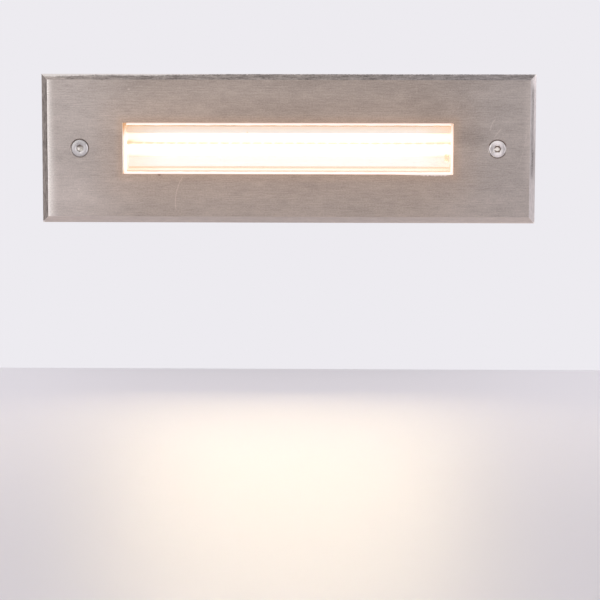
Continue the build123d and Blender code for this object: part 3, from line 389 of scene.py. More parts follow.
screwLook = {  # sizes in millimetres
    "steel": paint(208, 204, 202), "warmSteel": paint(211, 205, 202),
    "socketShadow": paint(112, 90, 76), "wornAndHighlight": paint(255, 248, 238),
    "middle": screwX, "brim": 3.6, "socket": 1.9, "socketDepth": (-3.5, -3),
    "floorSpot": (-0.9, -0.2, 0.9, 0.9, 0.333),
    "roughness": 0.38, "turning": 38,  # radians of the lathe's rings per millimetre
}


def turnedSteel(look):
    # rings of the lathe about each screw's own axis; a painted reflection fans the light up and down on the
    # right one and darkens its sides, and the upper part of the left head is painted darker
    finish = Finish("screw_stainless", {"Metallic": 1})
    x, y, z = finish.axes()
    step = finish.step
    out = ((abs(x) - look["middle"]) ** 2 + z ** 2) ** 0.5
    cloud = finish.noise(0.55, 3)
    rings = (look["turning"] * out + 5 * cloud + 2.5).sine()
    right = x > 0
    across = x + look["middle"] * (1 - 2 * right)
    facing = across / out
    # painted shade on the heads: the upper part of the left one and the sides of the right one are darker
    leftHead = 0.9 - 0.18 * step(z, 0.3, 3.2)
    dull = 0.4 + 0.3 * (across < 0).most(step(out, 2.2, 3.3))
    rightHead = 1.46 - facing ** 2 * dull
    level = leftHead * (1 - right) + rightHead * right + 0.05 * rings + 0.24 * cloud

    # painted highlights on the left of each socket and at the sides of the outer edge
    crescent = finish.near(out - look["socket"], 0.1, 0.42) * step(-facing, 0.72, 0.92)
    brim = finish.near(out - look["brim"], 0.1, 0.4) * step(facing.most(-facing * right), 0.8, 0.95)
    level = (level + 0.4 * crescent + 0.6 * brim).least(1.5)
    head = finish.scale(finish.mix(right, look["steel"], look["warmSteel"]), level)

    # the sockets have a painted bright floor with a painted highlight spot, and painted shadow on their walls
    deep = step(y, *look["socketDepth"]) * (out < look["socket"]) * (y < 0)
    leftWall = step(z, 0.45, 1).most(0.6 * step(-z, 0.9, 1.4))
    leftWall = leftWall.most(0.45 * step(out, 1, 1.4) * (across > -0.4))
    rightWall = step(abs(z + 0.1), 0.15, 0.7).most(0.8 * step(across, 0.8, 1.2) * (z > -1))
    rightWall = rightWall * step(out, 0.7, 1.1)
    wall = deep * (0.6 * leftWall * (1 - right) + 0.9 * rightWall * right)
    spot = finish.spot(across, z, *look["floorSpot"])
    floor = finish.scale(look["wornAndHighlight"], 0.5 + 0.5 * right.most(spot))
    finish.feed("Base Color", finish.mix(wall, finish.mix(deep, head, floor), look["socketShadow"]))
    finish.feed("Roughness", look["roughness"] + 0.04 * rings + 0.2 * cloud)
    finish.relief(0.5 * rings + cloud, 0.006, 0.4)


def platedMetal(name, colour, roughness, patchSize, wornAndHighlight):
    # plated or machined metal: soft patches of tone and fine tool marks
    finish = Finish(name, {"Metallic": 1})
    patch = finish.noise(1 / patchSize, 3, 0.6)
    marks = finish.noise((2, 9, 2))
    shaded = finish.scale(colour, 1 + 0.4 * patch + 0.2 * marks)
    finish.feed("Base Color", finish.mix(0.6 * finish.step(patch, 0.05, 0.25), shaded, wornAndHighlight))
    finish.feed("Roughness", roughness + 0.25 * patch + 0.1 * marks)
    finish.relief(marks, 0.006, 0.5)


castLook = {"metal": paint(186, 186, 187), "dull": paint(166, 167, 170), "roughness": 0.48}


def castMetal(look):
    # die cast skin: flow clouds, fine pimples and slightly brighter runs where the metal flowed
    finish = Finish("cast_aluminium", {"Metallic": 0.9})
    flow = finish.noise((0.06, 0.03, 0.12), 4, 0.65)
    fine = finish.noise(2.6, 3, 0.6)
    pimples = finish.node("ShaderNodeTexVoronoi", {}, {"Vector": finish.stretched(1.1), "Scale": 1})
    colour = finish.mix(finish.step(flow, -0.2, 0.2), look["metal"], look["dull"])
    finish.tint("Base Color", colour, 1 + 0.22 * fine)
    finish.feed("Roughness", look["roughness"] + 0.14 * flow + 0.14 * fine)
    finish.relief(0.6 * fine + 0.4 * pimples, 0.05, 0.6)


print("metal finishes ready")

# finishes of the light chamber; the glow stands for the light of the row, strongest beside it

glowLook = {  # light values of the glow, over 1 is white; places in millimetres
    "white": (1.25, 1.16, 1.02, 1), "bright": (0.75, 0.6, 0.62, 1), "peach": (0.66, 0.46, 0.43, 1),
    "ledge": (0.6, 0.5, 0.46, 1), "lowFlange": (0.41, 0.3, 0.25, 1), "cream": (0.58, 0.53, 0.52, 1),
    "beige": (0.455, 0.385, 0.345, 1), "amber": (0.38, 0.22, 0.1, 1), "gap": (0.46, 0.28, 0.18, 1),
    "tan": (0.43, 0.35, 0.29, 1), "dim": (0.26, 0.11, 0.02, 1),
    "enamel": paint(206, 196, 182), "mask": paint(206, 200, 190),
    "dashPitch": 5.124, "dashStart": -71.5, "gapEnd": (72, 76), "gapMiddle": 2.9,
    "ends": (56, 76),  # x where the ends of the row start to dim and are dimmest
    "flangeDepth": (6.2, 7.2), "capFront": (6, 7.5), "backDepth": (12.6, 13.4),
    "copper": -5.4, "trace": -3.7,  # z of the middle of the copper and of the trace above it
    "speck": (-19.4, 7.7, 0.7, 0.35, 0.286), "flux": (75.5, -4.3, 2.4, 2.4, 0.417),
}


def gapDashes(finish, x, look):
    # each package shades a short dash of the gap over the board, most at the dimmer ends of the row
    wave = ((x - look["dashStart"]) / look["dashPitch"] + 0.5).fract()
    dash = finish.near(wave - 0.5, 0.26, 0.5)
    return 0.57 + 0.24 * dash + 0.1 * finish.step(abs(x), 30, look["ends"][1])


def gapEnd(finish, x, z, look):
    # the gap is widest at its left end
    return 0.8 * finish.step(-x, *look["gapEnd"]) * finish.near(z - look["gapMiddle"], 0.4, 2)


def enamelSheet(look):
    # folded sheet in white enamel: the front flanges get least light, the folds beside the row most
    finish = Finish("white_sheet", {"Roughness": 0.42, "Emission Strength": 1})
    x, y, z = finish.axes()
    mix, step = finish.mix, finish.step
    peel = finish.noise(0.5)
    grit = finish.noise(6, 1)
    finish.tint("Base Color", look["enamel"], 1 + 0.06 * peel + 0.05 * grit)
    flange = mix(step(z, 7.5, 10.2), look["cream"], look["beige"])
    flange = mix(step(z, 10.1, 10.7), flange, look["dim"])
    flange = mix(z < 0, flange, look["lowFlange"])
    inner = mix(step(-z, 8.4, 9), look["white"], look["ledge"])
    glow = mix(1 - step(y, *look["flangeDepth"]), inner, flange)
    back = step(y, *look["backDepth"])
    overBoard = back * (z > 1) * (1 - step(z, 2.9, 3.6))
    glow = mix(overBoard * gapDashes(finish, x, look), glow, look["gap"])
    glow = mix(gapEnd(finish, x, z, look), glow, look["gap"])
    glow = mix(back * (z < -7), glow, look["tan"])
    glow = mix(0.5 * step(abs(x), *look["ends"]), glow, look["amber"])
    finish.feed("Emission Color", mix(0.9 * finish.spot(x, z, *look["speck"]), glow, look["amber"]))
    finish.relief(peel, 0.02, 0.5)


def boardWhite(look):
    # white solder mask with the faint outline of the copper under it and flux beside the solder joints
    finish = Finish("white_board", {"Roughness": 0.38, "Emission Strength": 1})
    x, z = finish.axes("XZ")
    mix, step = finish.mix, finish.step
    weave = finish.noise(3)
    copper = step(abs(z - look["copper"]), 1.5, 1.7)
    finish.tint("Base Color", look["mask"], 0.97 + 0.03 * copper + 0.05 * weave)
    glow = mix(step(-z, 2.6, 5), look["white"], look["bright"])
    glow = mix(step(-z, 7.9, 8.35), glow, look["tan"])
    glow = mix(step(z, 1.6, 2.4) * gapDashes(finish, x, look), glow, look["gap"])
    glow = mix(gapEnd(finish, x, z, look), glow, look["gap"])
    ends = step(abs(x), *look["ends"])
    glow = mix(ends * step(-z, -1, 4), glow, look["peach"])
    glow = mix(0.35 * finish.near(z - look["trace"], 0.2, 0.6), glow, look["gap"])
    finish.feed("Emission Color", mix(0.8 * finish.spot(x, z, *look["flux"]), glow, look["gap"]))
    finish.relief(weave + 0.4 * copper, 0.02, 0.4)


def capPlastic(look):
    # white end caps: bright level with the row and at the front of the left one, warm where the gap,
    # the flange and the low fold meet them
    finish = Finish("white_cap", {"Roughness": 0.4, "Emission Strength": 1})
    x, y, z = finish.axes()
    mix, step = finish.mix, finish.step
    cloud = finish.noise(0.3, 3)
    finish.tint("Base Color", look["enamel"], 1 + 0.1 * cloud)
    low = mix(x < 0, look["tan"], look["peach"])
    glow = mix(step(-z, 1.4, 2.8), look["white"], low)
    glow = mix(step(z, 1.2, 2.2) * (1 - step(z, 3, 5.4)), glow, look["gap"])
    glow = mix(step(z, 7, 8), glow, look["lowFlange"])
    leftFront = (x < 0) * (1 - step(y, *look["capFront"]))
    finish.feed("Emission Color", mix(leftFront, glow, look["white"]))
    finish.relief(cloud, 0.02, 0.4)


def chamberPlastic(name, colour, glowColour, glowStrength, roughness):
    # a cloudy body that glows in one colour
    finish = Finish(name, {"Emission Strength": glowStrength})
    cloud = finish.noise(0.3, 3)
    finish.tint("Base Color", colour, 1 + 0.1 * cloud)
    finish.tint("Emission Color", glowColour, 1 + 0.2 * cloud)
    finish.feed("Roughness", roughness + 0.15 * cloud)
    finish.relief(cloud, 0.02, 0.4)


sealLook = {  # places in millimetres
    "body": paint(226, 218, 204), "amberBody": paint(206, 180, 150), "strength": 0.8,
    "glow": paint(255, 235, 230), "warm": paint(226, 168, 122), "amber": paint(204, 160, 118),
    "outerX": (76.75, 77), "outerZ": (11.55, 11.9), "endX": (75.4, 75.9), "upperZ": (4.5, 11),
}


def siliconeBead(look):
    # translucent silicone, lit through from behind by a painted glow: uneven along its length, warmer at its
    # thick outer edge, and painted amber in colour and glow at the upper ends, where less light comes through
    finish = Finish("silicone", {"Roughness": 0.34, "Emission Strength": look["strength"]})
    x, z = finish.axes("XZ")
    mix, step = finish.mix, finish.step
    run = finish.noise((0.12, 0.5, 0.12), 3)
    thick = step(abs(x), *look["outerX"]).most(0.35 * step(abs(z), *look["outerZ"]))
    glow = mix(0.8 * thick, look["glow"], look["warm"])
    upper = step(abs(x), *look["endX"]) * step(z, *look["upperZ"]) * (1 - 0.6 * (x > 0))
    glow = mix(upper, glow, look["amber"])
    body = mix(upper, look["body"], look["amberBody"])
    finish.tint("Base Color", body, 1 + 0.12 * run)
    finish.tint("Emission Color", glow, 1 + 0.3 * run)
    finish.relief(run, 0.05, 0.5)


def clearGlass():
    # toughened pane: a few faint wipe marks in its gloss
    finish = Finish("clear_glass", {"Transmission Weight": 1, "IOR": 1.5})
    wipe = finish.noise((0.06, 0.06, 0.35), 3)
    finish.tint("Base Color", paint(252, 254, 253), 0.99 - 0.02 * wipe)
    finish.feed("Roughness", 0.05 * finish.step(wipe, 0.05, 0.3))


solderLook = {
    "body": paint(228, 214, 198), "stainedBody": paint(206, 170, 136),
    "glow": paint(250, 234, 220), "stainedGlow": paint(238, 202, 168), "strength": 0.74,
    "cleanBelow": (5.1, 6.1),  # millimetres under the middle where the stain ends
}


def solderDrop(look):
    # dull solder, lit by the row above it; its upper part is stained by burnt flux
    finish = Finish("solder", {"Metallic": 0.4, "Emission Strength": look["strength"]})
    z = finish.axes("Z")[0]
    dimples = finish.noise(1.6, 3)
    clean = finish.step(-z, *look["cleanBelow"])
    body = finish.mix(clean, look["stainedBody"], look["body"])
    glow = finish.mix(clean, look["stainedGlow"], look["glow"])
    finish.tint("Base Color", body, 1 + 0.3 * dimples)
    finish.tint("Emission Color", glow, 1 + 0.3 * dimples)
    finish.feed("Roughness", 0.33 + 0.3 * dimples)
    finish.relief(dimples, 0.03, 0.5)


print("light chamber finishes ready")

# finishes of plastic, rubber and wire

dustTone = paint(150, 144, 136)


def moulded(name, colour, roughness, grain):
    # spark-eroded mould grain, slow tone clouds and a little dust on it
    finish = Finish(name, {})
    cloud = finish.noise(0.03, 3)
    spark = finish.noise(grain, 2, 0.6)
    specks = finish.step(finish.noise(0.9, 3), 0.12, 0.24)
    body = finish.scale(colour, 1 + 0.35 * cloud + 0.25 * spark)
    finish.feed("Base Color", finish.mix(0.1 * specks, body, dustTone))
    finish.feed("Roughness", roughness + 0.2 * spark + 0.12 * cloud)
    finish.relief(spark, 0.03, 0.7)


boxLook = {  # sizes in millimetres
    "body": paint(60, 60, 62), "scuffed": paint(112, 109, 106), "dust": paint(152, 145, 136),
    "halfWidth": 108.5, "halfHeight": 28, "depth": 92, "ribTop": (0.5, 0.75),
    "roughness": 0.52, "gate": 2.4,  # radius of the ring where the plastic was fed in
}


def boxPlastic(look):
    # coarse spark-eroded grain; edges and ribs are scuffed, dust lies on top and a gate mark is at the back
    finish = Finish("box_plastic", {})
    x, y, z = finish.axes()
    step = finish.step
    halfWidth, halfHeight, depth = look["halfWidth"], look["halfHeight"], look["depth"]
    cloud = finish.noise(0.025, 3)
    spark = finish.noise(1.5, 2, 0.7)
    wear = finish.noise((0.22, 0.5, 0.5), 4, 0.7)
    nearX = step(abs(x), halfWidth - 1.5, halfWidth - 0.5)
    nearZ = step(abs(z), halfHeight - 1.5, halfHeight - 0.5)
    nearY = step(y, depth - 1.3, depth - 0.4).most(1 - step(y, 0.1, 0.7))
    edge = (nearX * nearZ).most(nearX * nearY).most(nearZ * nearY)
    ribTop = step(abs(z) - halfHeight, *look["ribTop"])
    scuff = (edge * step(wear, -0.12, 0.12)).most(ribTop * step(wear, -0.04, 0.14))
    drift = finish.noise(0.07, 5, 0.7)
    settled = step(z, halfHeight - 0.3, halfHeight) * step(drift, -0.08, 0.22)
    specks = step(finish.noise(0.8, 3), 0.13, 0.22)
    gateRing = finish.near((x ** 2 + z ** 2) ** 0.5 - look["gate"], 0.1, 0.35) * (y > depth - 0.5)
    body = finish.scale(look["body"], 1 + 0.4 * cloud + 0.5 * spark - 0.4 * gateRing)
    body = finish.mix(0.55 * scuff, body, look["scuffed"])
    finish.feed("Base Color", finish.mix((0.28 * settled).most(0.16 * specks), body, look["dust"]))
    finish.feed("Roughness", look["roughness"] + 0.3 * spark + 0.2 * settled - 0.1 * scuff)
    finish.relief(spark - 0.8 * gateRing, 0.06, 0.8)


def rubber(name, colour):
    # matt rubber with bloom and moulding flow
    finish = Finish(name, {})
    bloom = finish.noise(0.08, 4)
    pores = finish.noise(3.5)
    pale = finish.scale(colour, 2.4)
    finish.feed("Base Color", finish.mix(0.5 * finish.step(bloom, -0.05, 0.25), colour, pale))
    finish.feed("Roughness", 0.72 + 0.3 * pores)
    finish.relief(pores, 0.03, 0.6)


def wireCover(name, colour, stripe=None):
    # drawn insulation: an uneven gloss, and a slanting stripe where the lead has two colours
    finish = Finish(name, {})
    x, y, z = finish.axes()
    drawn = finish.noise(0.6)
    slant = ((x + y + z) * 0.16).fract()
    body = finish.mix(finish.step(abs(slant - 0.5), 0.22, 0.26), colour, stripe or colour)
    finish.tint("Base Color", body, 1 + 0.3 * drawn)
    finish.feed("Roughness", 0.3 + 0.25 * drawn)
    finish.relief(drawn, 0.01, 0.4)


brushedPlate(plateLook)
turnedSteel(screwLook)
platedMetal("zinc_steel", paint(190, 193, 198), 0.32, 2.5, paint(168, 166, 158))
platedMetal("nickel_brass", paint(214, 182, 110), 0.26, 1.8, paint(176, 138, 76))
castMetal(castLook)
enamelSheet(glowLook)
boardWhite(glowLook)
capPlastic(glowLook)
chamberPlastic("led_white", paint(240, 238, 230), paint(255, 250, 238), 0.9, 0.3)
chamberPlastic("led_phosphor", paint(248, 224, 140), paint(255, 246, 226), 2.2, 0.5)
siliconeBead(sealLook)
clearGlass()
solderDrop(solderLook)
rubber("pad_grey", paint(150, 154, 160))
rubber("epdm_black", paint(38, 38, 39))
wireCover("wire_red", paint(186, 34, 26))
wireCover("wire_black", paint(34, 33, 34))
wireCover("wire_brown", paint(104, 62, 38))
wireCover("wire_blue", paint(36, 84, 160))
wireCover("wire_earth", paint(52, 132, 48), paint(226, 206, 48))
moulded("driver_plastic", paint(222, 222, 219), 0.5, 2.4)
moulded("block_plastic", paint(232, 230, 220), 0.36, 1.2)
moulded("gland_plastic", paint(70, 71, 74), 0.45, 2)
boxPlastic(boxLook)
moulded("nylon", paint(228, 224, 210), 0.4, 1.4)
for row in frame["record"]["subparts"]:
    for slot in nodes[row["node"]].material_slots:
        slot.material = finishes[row["material_slot"]]
print("all", len(finishes), "finishes on the CAD nodes")

# shapes worked out as grids, in millimetres


def skin(grid, startPole=None, endPole=None, aroundRows=False):
    # a grid of rows that each close on themselves; neighbouring rows are joined by quads,
    # a pole closes an open end with a fan, and aroundRows joins the last row to the first
    rows, columns = grid.shape[:2]
    index = np.arange(rows * columns).reshape(rows, columns)
    index = np.hstack([index, index[:, :1]])
    if aroundRows:
        index = np.vstack([index, index[:1]])
    points = grid.reshape(-1, 3)
    quads = np.stack([index[:-1, :-1], index[:-1, 1:], index[1:, 1:], index[1:, :-1]], -1)
    faces = [quads.reshape(-1, 4)]
    for pole, ring in ((startPole, index[0]), (endPole, index[-1])):
        if pole is not None:
            points = np.vstack([points, np.array(pole)])
            tip = np.full(columns, len(points) - 1)
            faces.append(np.stack([ring[:-1], ring[1:], tip], -1))
    return points, faces


def smoothMesh(name, points, faces, finish):
    # a mesh in metres, shaded smooth
    mesh = bpy.data.meshes.new(name)
    mesh.from_pydata((points * mm).tolist(), [], faces)
    mesh.polygons.foreach_set("use_smooth", np.ones(len(mesh.polygons), bool))
    mesh.materials.append(finishes[finish])
    return mesh


def addObject(name, data):
    made = bpy.data.objects.new(name, data)
    scene.collection.objects.link(made)
    return made


def piece(name, skins, finish, body, replaced, smooth):
    # joins skins into one mesh, turns its faces outwards and puts it on its CAD body
    points = np.vstack([skinPoints for skinPoints, skinFaces in skins])
    faces = []
    start = 0
    for skinPoints, skinFaces in skins:
        for group in skinFaces:
            faces += (group + start).tolist()
        start += len(skinPoints)
    mesh = smoothMesh(name, points, faces, finish)
    shaped = bmesh.new()
    shaped.from_mesh(mesh)
    bmesh.ops.recalc_face_normals(shaped, faces=shaped.faces)
    shaped.to_mesh(mesh)
    shaped.free()
    mesh.set_sharp_from_angle(angle=math.radians(smooth))
    made = addObject(name, mesh)
    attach(made, body)
    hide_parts(replaced)


def fullTurn(count):
    return np.linspace(0, 2 * np.pi, count, endpoint=False)


def lathe(y, radius, centreX, centreZ):
    # x = centreX + r cos t, z = centreZ + r sin t; r has a row for each y and may change with t along it
    turn = fullTurn(radius.shape[1])
    depth = np.broadcast_to(y[:, None], radius.shape)
    return np.stack([centreX + radius * np.cos(turn), depth, centreZ + radius * np.sin(turn)], -1)


threadSteps = 8  # rows of points for each turn of a thread


def thread(y, turn, pitch):
    # height of a right-hand V thread, 1 on the crest and 0 in the root: a triangle wave of
    # y / pitch + t / 2 pi, cut a little flat at crest and root
    phase = np.mod(y[:, None] / pitch + turn[None, :] / (2 * np.pi), 1)
    return np.clip(np.abs(2 * phase - 1) * 1.3 - 0.12, 0, 1)


faceScrew = {
    "middle": screwX, "front": -3.67, "land": 0.2,
    "head": 3.9, "headRing": 2.6,  # radius of the head and of a ring of points on its flat
    "edge": 0.16, "edgePoint": (0.05, 0.04),  # its rounded edge, and a point on that: back and inwards
    "flats": 3, "socketDepth": 1.5, "socketChamfer": 0.2, "floorRound": 0.06, "drillPoint": 0.35,
    "socketTurn": {"left_screw": 0, "right_screw": 30},
    "shank": 2, "groove": 1.6, "grooveStart": 12.95, "grooveEnd": 15.05, "grooveChamfer": 0.1,
    "threadStart": 1.7, "threadDepth": 0.36, "threadGap": 0.1, "pitch": 0.7,
    "end": 26.33, "tip": 1.2, "tipChamfer": 0.3, "columns": 72,
}


def socketScrew(size, centreX, socketTurn):
    # a lathe whose radius is a hexagon, half the flats / cos t, in the socket, a circle on the head
    # and the shank, and a helix on the thread
    turn = fullTurn(size["columns"])
    sixth = np.pi / 3
    hexagon = size["flats"] / 2 / np.cos(np.mod(turn - socketTurn + sixth / 2, sixth) - sixth / 2)
    front, head, edge, shank = size["front"], size["head"], size["edge"], size["shank"]
    chamfer, floorRound, grooveChamfer = size["socketChamfer"], size["floorRound"], size["grooveChamfer"]
    edgeBack, edgeIn = size["edgePoint"]
    floor = front + size["socketDepth"]
    rows = [
        (floor, 0.8 * hexagon),
        (floor, hexagon - floorRound),
        (floor - floorRound, hexagon),
        (front + 0.7 * chamfer, hexagon),
        (front + 0.15 * chamfer, hexagon + 0.6 * chamfer),
        (front, hexagon + chamfer),
        (front, size["headRing"]),
        (front, head - edge),
        (front + edgeBack, head - edgeIn),
        (front + edge, head),
        (front + size["land"], head),
        (front + size["land"] + head - shank, shank),
        (size["grooveStart"] - grooveChamfer, shank),
        (size["grooveStart"], shank - grooveChamfer),
        (size["grooveStart"], size["groove"]),
        (size["grooveEnd"], size["groove"]),
        (size["grooveEnd"], size["threadStart"]),
    ]
    gap = size["threadGap"]
    threadY = np.arange(size["grooveEnd"] + gap, size["end"] - gap, size["pitch"] / threadSteps)
    crest = np.minimum(shank, size["tip"] + size["tipChamfer"] + size["end"] - threadY)[:, None]
    helix = crest - size["threadDepth"] * (1 - thread(threadY, turn, size["pitch"]))
    turned = [np.broadcast_to(row[1], turn.shape) for row in rows]
    tip = np.full(turn.shape, size["tip"])
    y = np.concatenate([[row[0] for row in rows], threadY, [size["end"]]])
    grid = lathe(y, np.vstack([*turned, helix, tip]), centreX, 0)
    return skin(grid, (centreX, floor + size["drillPoint"], 0), (centreX, size["end"], 0))


for label, side in (("left_screw", -1), ("right_screw", 1)):
    socketTurn = math.radians(faceScrew["socketTurn"][label])
    cut = socketScrew(faceScrew, side * faceScrew["middle"], socketTurn)
    piece(label + "_threaded", [cut], "screw_stainless", label, label, 30)
print("face screws cut")

insert = {
    "middle": screwX, "front": 18, "back": 30, "outer": 2.8, "chamfer": 0.3,
    "knurls": 9, "knurlLean": 1.1, "knurlDepth": 0.22, "knurlRows": 60,  # lean in radians per millimetre
    "waist": 0.9, "waistDepth": 0.35,  # half width of the plain band and its depth
    "bore": 2.05, "mouth": 2.4, "threadDepth": 0.2, "pitch": 0.7, "columns": 72,
}


def knurledInsert(size, centreX):
    # an outer wall with crossed knurling, |sin| of two opposite helices, and a threaded bore
    front, back, outer, chamfer = size["front"], size["back"], size["outer"], size["chamfer"]
    turn = fullTurn(size["columns"])
    outY = np.linspace(front + chamfer, back - chamfer, size["knurlRows"])
    lean = size["knurlLean"] * outY[:, None]
    around = size["knurls"] * turn
    knurl = np.minimum(np.abs(np.sin(around + lean)), np.abs(np.sin(around - lean)))
    plain = (np.abs(outY - (front + back) / 2) < size["waist"])[:, None]
    wall = np.where(plain, outer - size["waistDepth"], outer - size["knurlDepth"] * (1 - knurl))
    inY = np.arange(back - chamfer, front + chamfer, -size["pitch"] / threadSteps)
    bore = size["bore"] + size["threadDepth"] * (1 - thread(inY, turn, size["pitch"]))
    rim = np.full((1, size["columns"]), outer - chamfer)
    mouth = np.full((1, size["columns"]), size["mouth"])
    y = np.concatenate([[front], outY, [back] * 2, inY, [front]])
    radius = np.vstack([rim, wall, rim, mouth, bore, mouth])
    return skin(lathe(y, radius, centreX, 0), aroundRows=True)


inserts = [knurledInsert(insert, side * insert["middle"]) for side in (-1, 1)]
piece("box_inserts_knurled", inserts, "nickel_brass", "wall_box", "box_inserts", 30)

stud = {
    "x": 91, "z": 17, "start": -1, "end": 8.1, "radius": 1.5,
    "weld": 1.72, "weldHeight": 0.2, "tip": 1, "tipChamfer": 0.2,
    "pitch": 0.5, "threadDepth": 0.24, "columns": 40,
}


def threadedStud(size, centreX, centreZ):
    # a weld collar at the plate, then a helix to a chamfered tip
    start, end, weldHeight = size["start"], size["end"], size["weldHeight"]
    turn = fullTurn(size["columns"])
    circle = np.ones((1, size["columns"]))
    threadY = np.arange(start + 0.5, end - 0.05, size["pitch"] / threadSteps)
    crest = np.minimum(size["radius"], size["tip"] + size["tipChamfer"] + end - threadY)[:, None]
    helix = crest - size["threadDepth"] * (1 - thread(threadY, turn, size["pitch"]))
    y = np.concatenate([[start, start + weldHeight, start + 2 * weldHeight], threadY, [end]])
    collar = [circle * size["weld"], circle * size["weld"], circle * size["radius"]]
    grid = lathe(y, np.vstack([*collar, helix, circle * size["tip"]]), centreX, centreZ)
    return skin(grid, (centreX, start, centreZ), (centreX, end, centreZ))


studs = [threadedStud(stud, sx * stud["x"], sz * stud["z"]) for sx in (-1, 1) for sz in (-1, 1)]
piece("plate_studs_threaded", studs, "zinc_steel", "lamp", "plate_studs", 30)
print("inserts and studs cut")

arcSteps = 17  # points on each rounded corner of a path


def roundedPath(width, height, corner, count):
    # count points evenly round a rectangle with quarter circles at its corners,
    # and the outward direction at each
    arc = np.linspace(0, np.pi / 2, arcSteps)
    quarter = np.concatenate([arc + k * np.pi / 2 for k in range(4)])
    signX = np.repeat([1, -1, -1, 1], arcSteps)
    signZ = np.repeat([1, 1, -1, -1], arcSteps)
    x = signX * (width / 2 - corner) + corner * np.cos(quarter)
    z = signZ * (height / 2 - corner) + corner * np.sin(quarter)
    loopX = np.append(x, x[0])
    loopZ = np.append(z, z[0])
    loopTurn = np.append(quarter, 2 * np.pi)
    along = np.concatenate([[0], np.cumsum(np.hypot(np.diff(loopX), np.diff(loopZ)))])
    at = np.linspace(0, along[-1], count, endpoint=False)
    face = np.interp(at, along, loopTurn)
    return np.interp(at, along, loopX), np.interp(at, along, loopZ), np.cos(face), np.sin(face)


def ringSweep(path, outward, depth):
    # a section (outward, depth) carried round a path: x = pathX + outward * normalX, z likewise, y = depth
    pathX, pathZ, normalX, normalZ = path
    outward = np.broadcast_to(outward, (len(outward), len(pathX)))
    depth = np.broadcast_to(depth, outward.shape)
    return skin(np.stack([pathX + outward * normalX, depth, pathZ + outward * normalZ], -1), aroundRows=True)


seal = {
    "width": 152, "height": 21.8, "corner": 0.6, "band": 6, "front": -1, "back": 0.5, "swell": 0.55,
    "waver": ((0.05, 17, 0.4), (0.04, 41, 2.1), (0.03, 73, 5)),  # width, waves round the path, phase
    "count": 720,
}


def windowBead(size):
    # the section's lip is squeezed up into the window; its width and height waver with sines round the path
    front, back, band = size["front"], size["back"], size["band"]
    path = roundedPath(size["width"], size["height"], size["corner"], size["count"])
    turn = fullTurn(size["count"])
    waver = sum(width * np.sin(waves * turn + phase) for width, waves, phase in size["waver"])
    rise = size["swell"] * (0.8 + 0.3 * np.sin(5 * turn + 1) * np.sin(23 * turn + 0.5))
    section = np.array([  # outward, depth, share of the rise, share of the waver
        (0, back, 0, 1), (0, 0.6 * front, 0, 1), (0.06, 0.9 * front, 0.25, 1),
        (0.25, front, 0.75, 0.8), (0.5, front, 1, 0.5), (0.75, front, 0.95, 0.2),
        (0.9, front, 0.6, 0.1), (0.96, front, 0.2, 0.05), (0.99, front, 0, 0),
        (band, front, 0, 0), (band, back, 0, 0),
    ])
    outward, depth, hump, free = (column[:, None] for column in section.T)
    return ringSweep(path, outward + free * waver, depth - hump * rise)


piece("window_bead", [windowBead(seal)], "silicone", "lamp", "glass_front_seal", 50)

gasket = {
    "width": 226, "height": 65, "corner": 6.5, "band": 3.5, "thickness": 1,
    "edgePower": 0.35, "facePower": 0.6, "count": 360, "sectionSteps": 28,
}


def pressedGasket(size):
    # a flat band whose two edges are pressed out round: a superellipse section round the path
    inset = size["band"] / 2
    width, height = size["width"] - 2 * inset, size["height"] - 2 * inset
    path = roundedPath(width, height, size["corner"] - inset, size["count"])
    turn = fullTurn(size["sectionSteps"])
    outward = inset * np.sign(np.cos(turn)) * np.abs(np.cos(turn)) ** size["edgePower"]
    lift = np.sign(np.sin(turn)) * np.abs(np.sin(turn)) ** size["facePower"]
    depth = size["thickness"] / 2 * (lift - 1)
    return ringSweep(path, outward[:, None], depth[:, None])


piece("wall_gasket_pressed", [pressedGasket(gasket)], "epdm_black", "lamp", "wall_gasket", 50)
print("seals laid")

# stage: a pale table that ends under the face plate, and a pale surround

stageLook = {  # millimetres
    "floor": -103, "front": -40000, "reach": 40000, "roll": 6, "rollSteps": 9, "drop": 60,
    "colour": paint(217, 213, 217), "lift": 0.25,
    "liftNear": (-420, 0),  # y where the lift towards the far edge starts and is full
    "liftAway": (700, 2000),  # the same for the distance all round
}


def paleFloor(look):
    # a flat sheet whose far edge rolls down in a quarter circle
    bend = np.linspace(0, np.pi / 2, look["rollSteps"])
    y = np.concatenate([[look["front"]], look["roll"] * (np.sin(bend) - 1), [0]])
    z = look["floor"] + np.concatenate([[0], look["roll"] * (np.cos(bend) - 1), [-look["drop"]]])
    x = np.array([-look["reach"], look["reach"]])
    grid = np.stack(np.broadcast_arrays(x[None, :], y[:, None], z[:, None]), -1)
    index = np.arange(grid.shape[0] * 2).reshape(-1, 2)
    faces = np.stack([index[:-1, 0], index[:-1, 1], index[1:, 1], index[1:, 0]], -1).tolist()
    floorFinish(look)
    made = addObject("floor", smoothMesh("floor", grid.reshape(-1, 3), faces, "pale_floor"))


def floorFinish(look):
    # pale and faintly cloudy, lifted towards its far edge where it is seen, so that it keeps its shadows
    finish = Finish("pale_floor", {"Roughness": 0.5, "Emission Strength": 1})
    cloud = finish.noise(0.004)
    finish.tint("Base Color", look["colour"], 1 + 0.04 * cloud)
    x, y = finish.axes("XY")
    far = finish.step(y, *look["liftNear"])
    away = finish.step((x ** 2 + y ** 2) ** 0.5, *look["liftAway"])
    kinds = ("Camera", "Glossy", "Transmission")
    camera, glossy, through = (finish.node("ShaderNodeLightPath", {}, {}, f"Is {kind} Ray") for kind in kinds)
    seen = camera.most(glossy).most(through)
    finish.tint("Emission Color", look["colour"], look["lift"] * far.most(away) * seen)


paleFloor(stageLook)

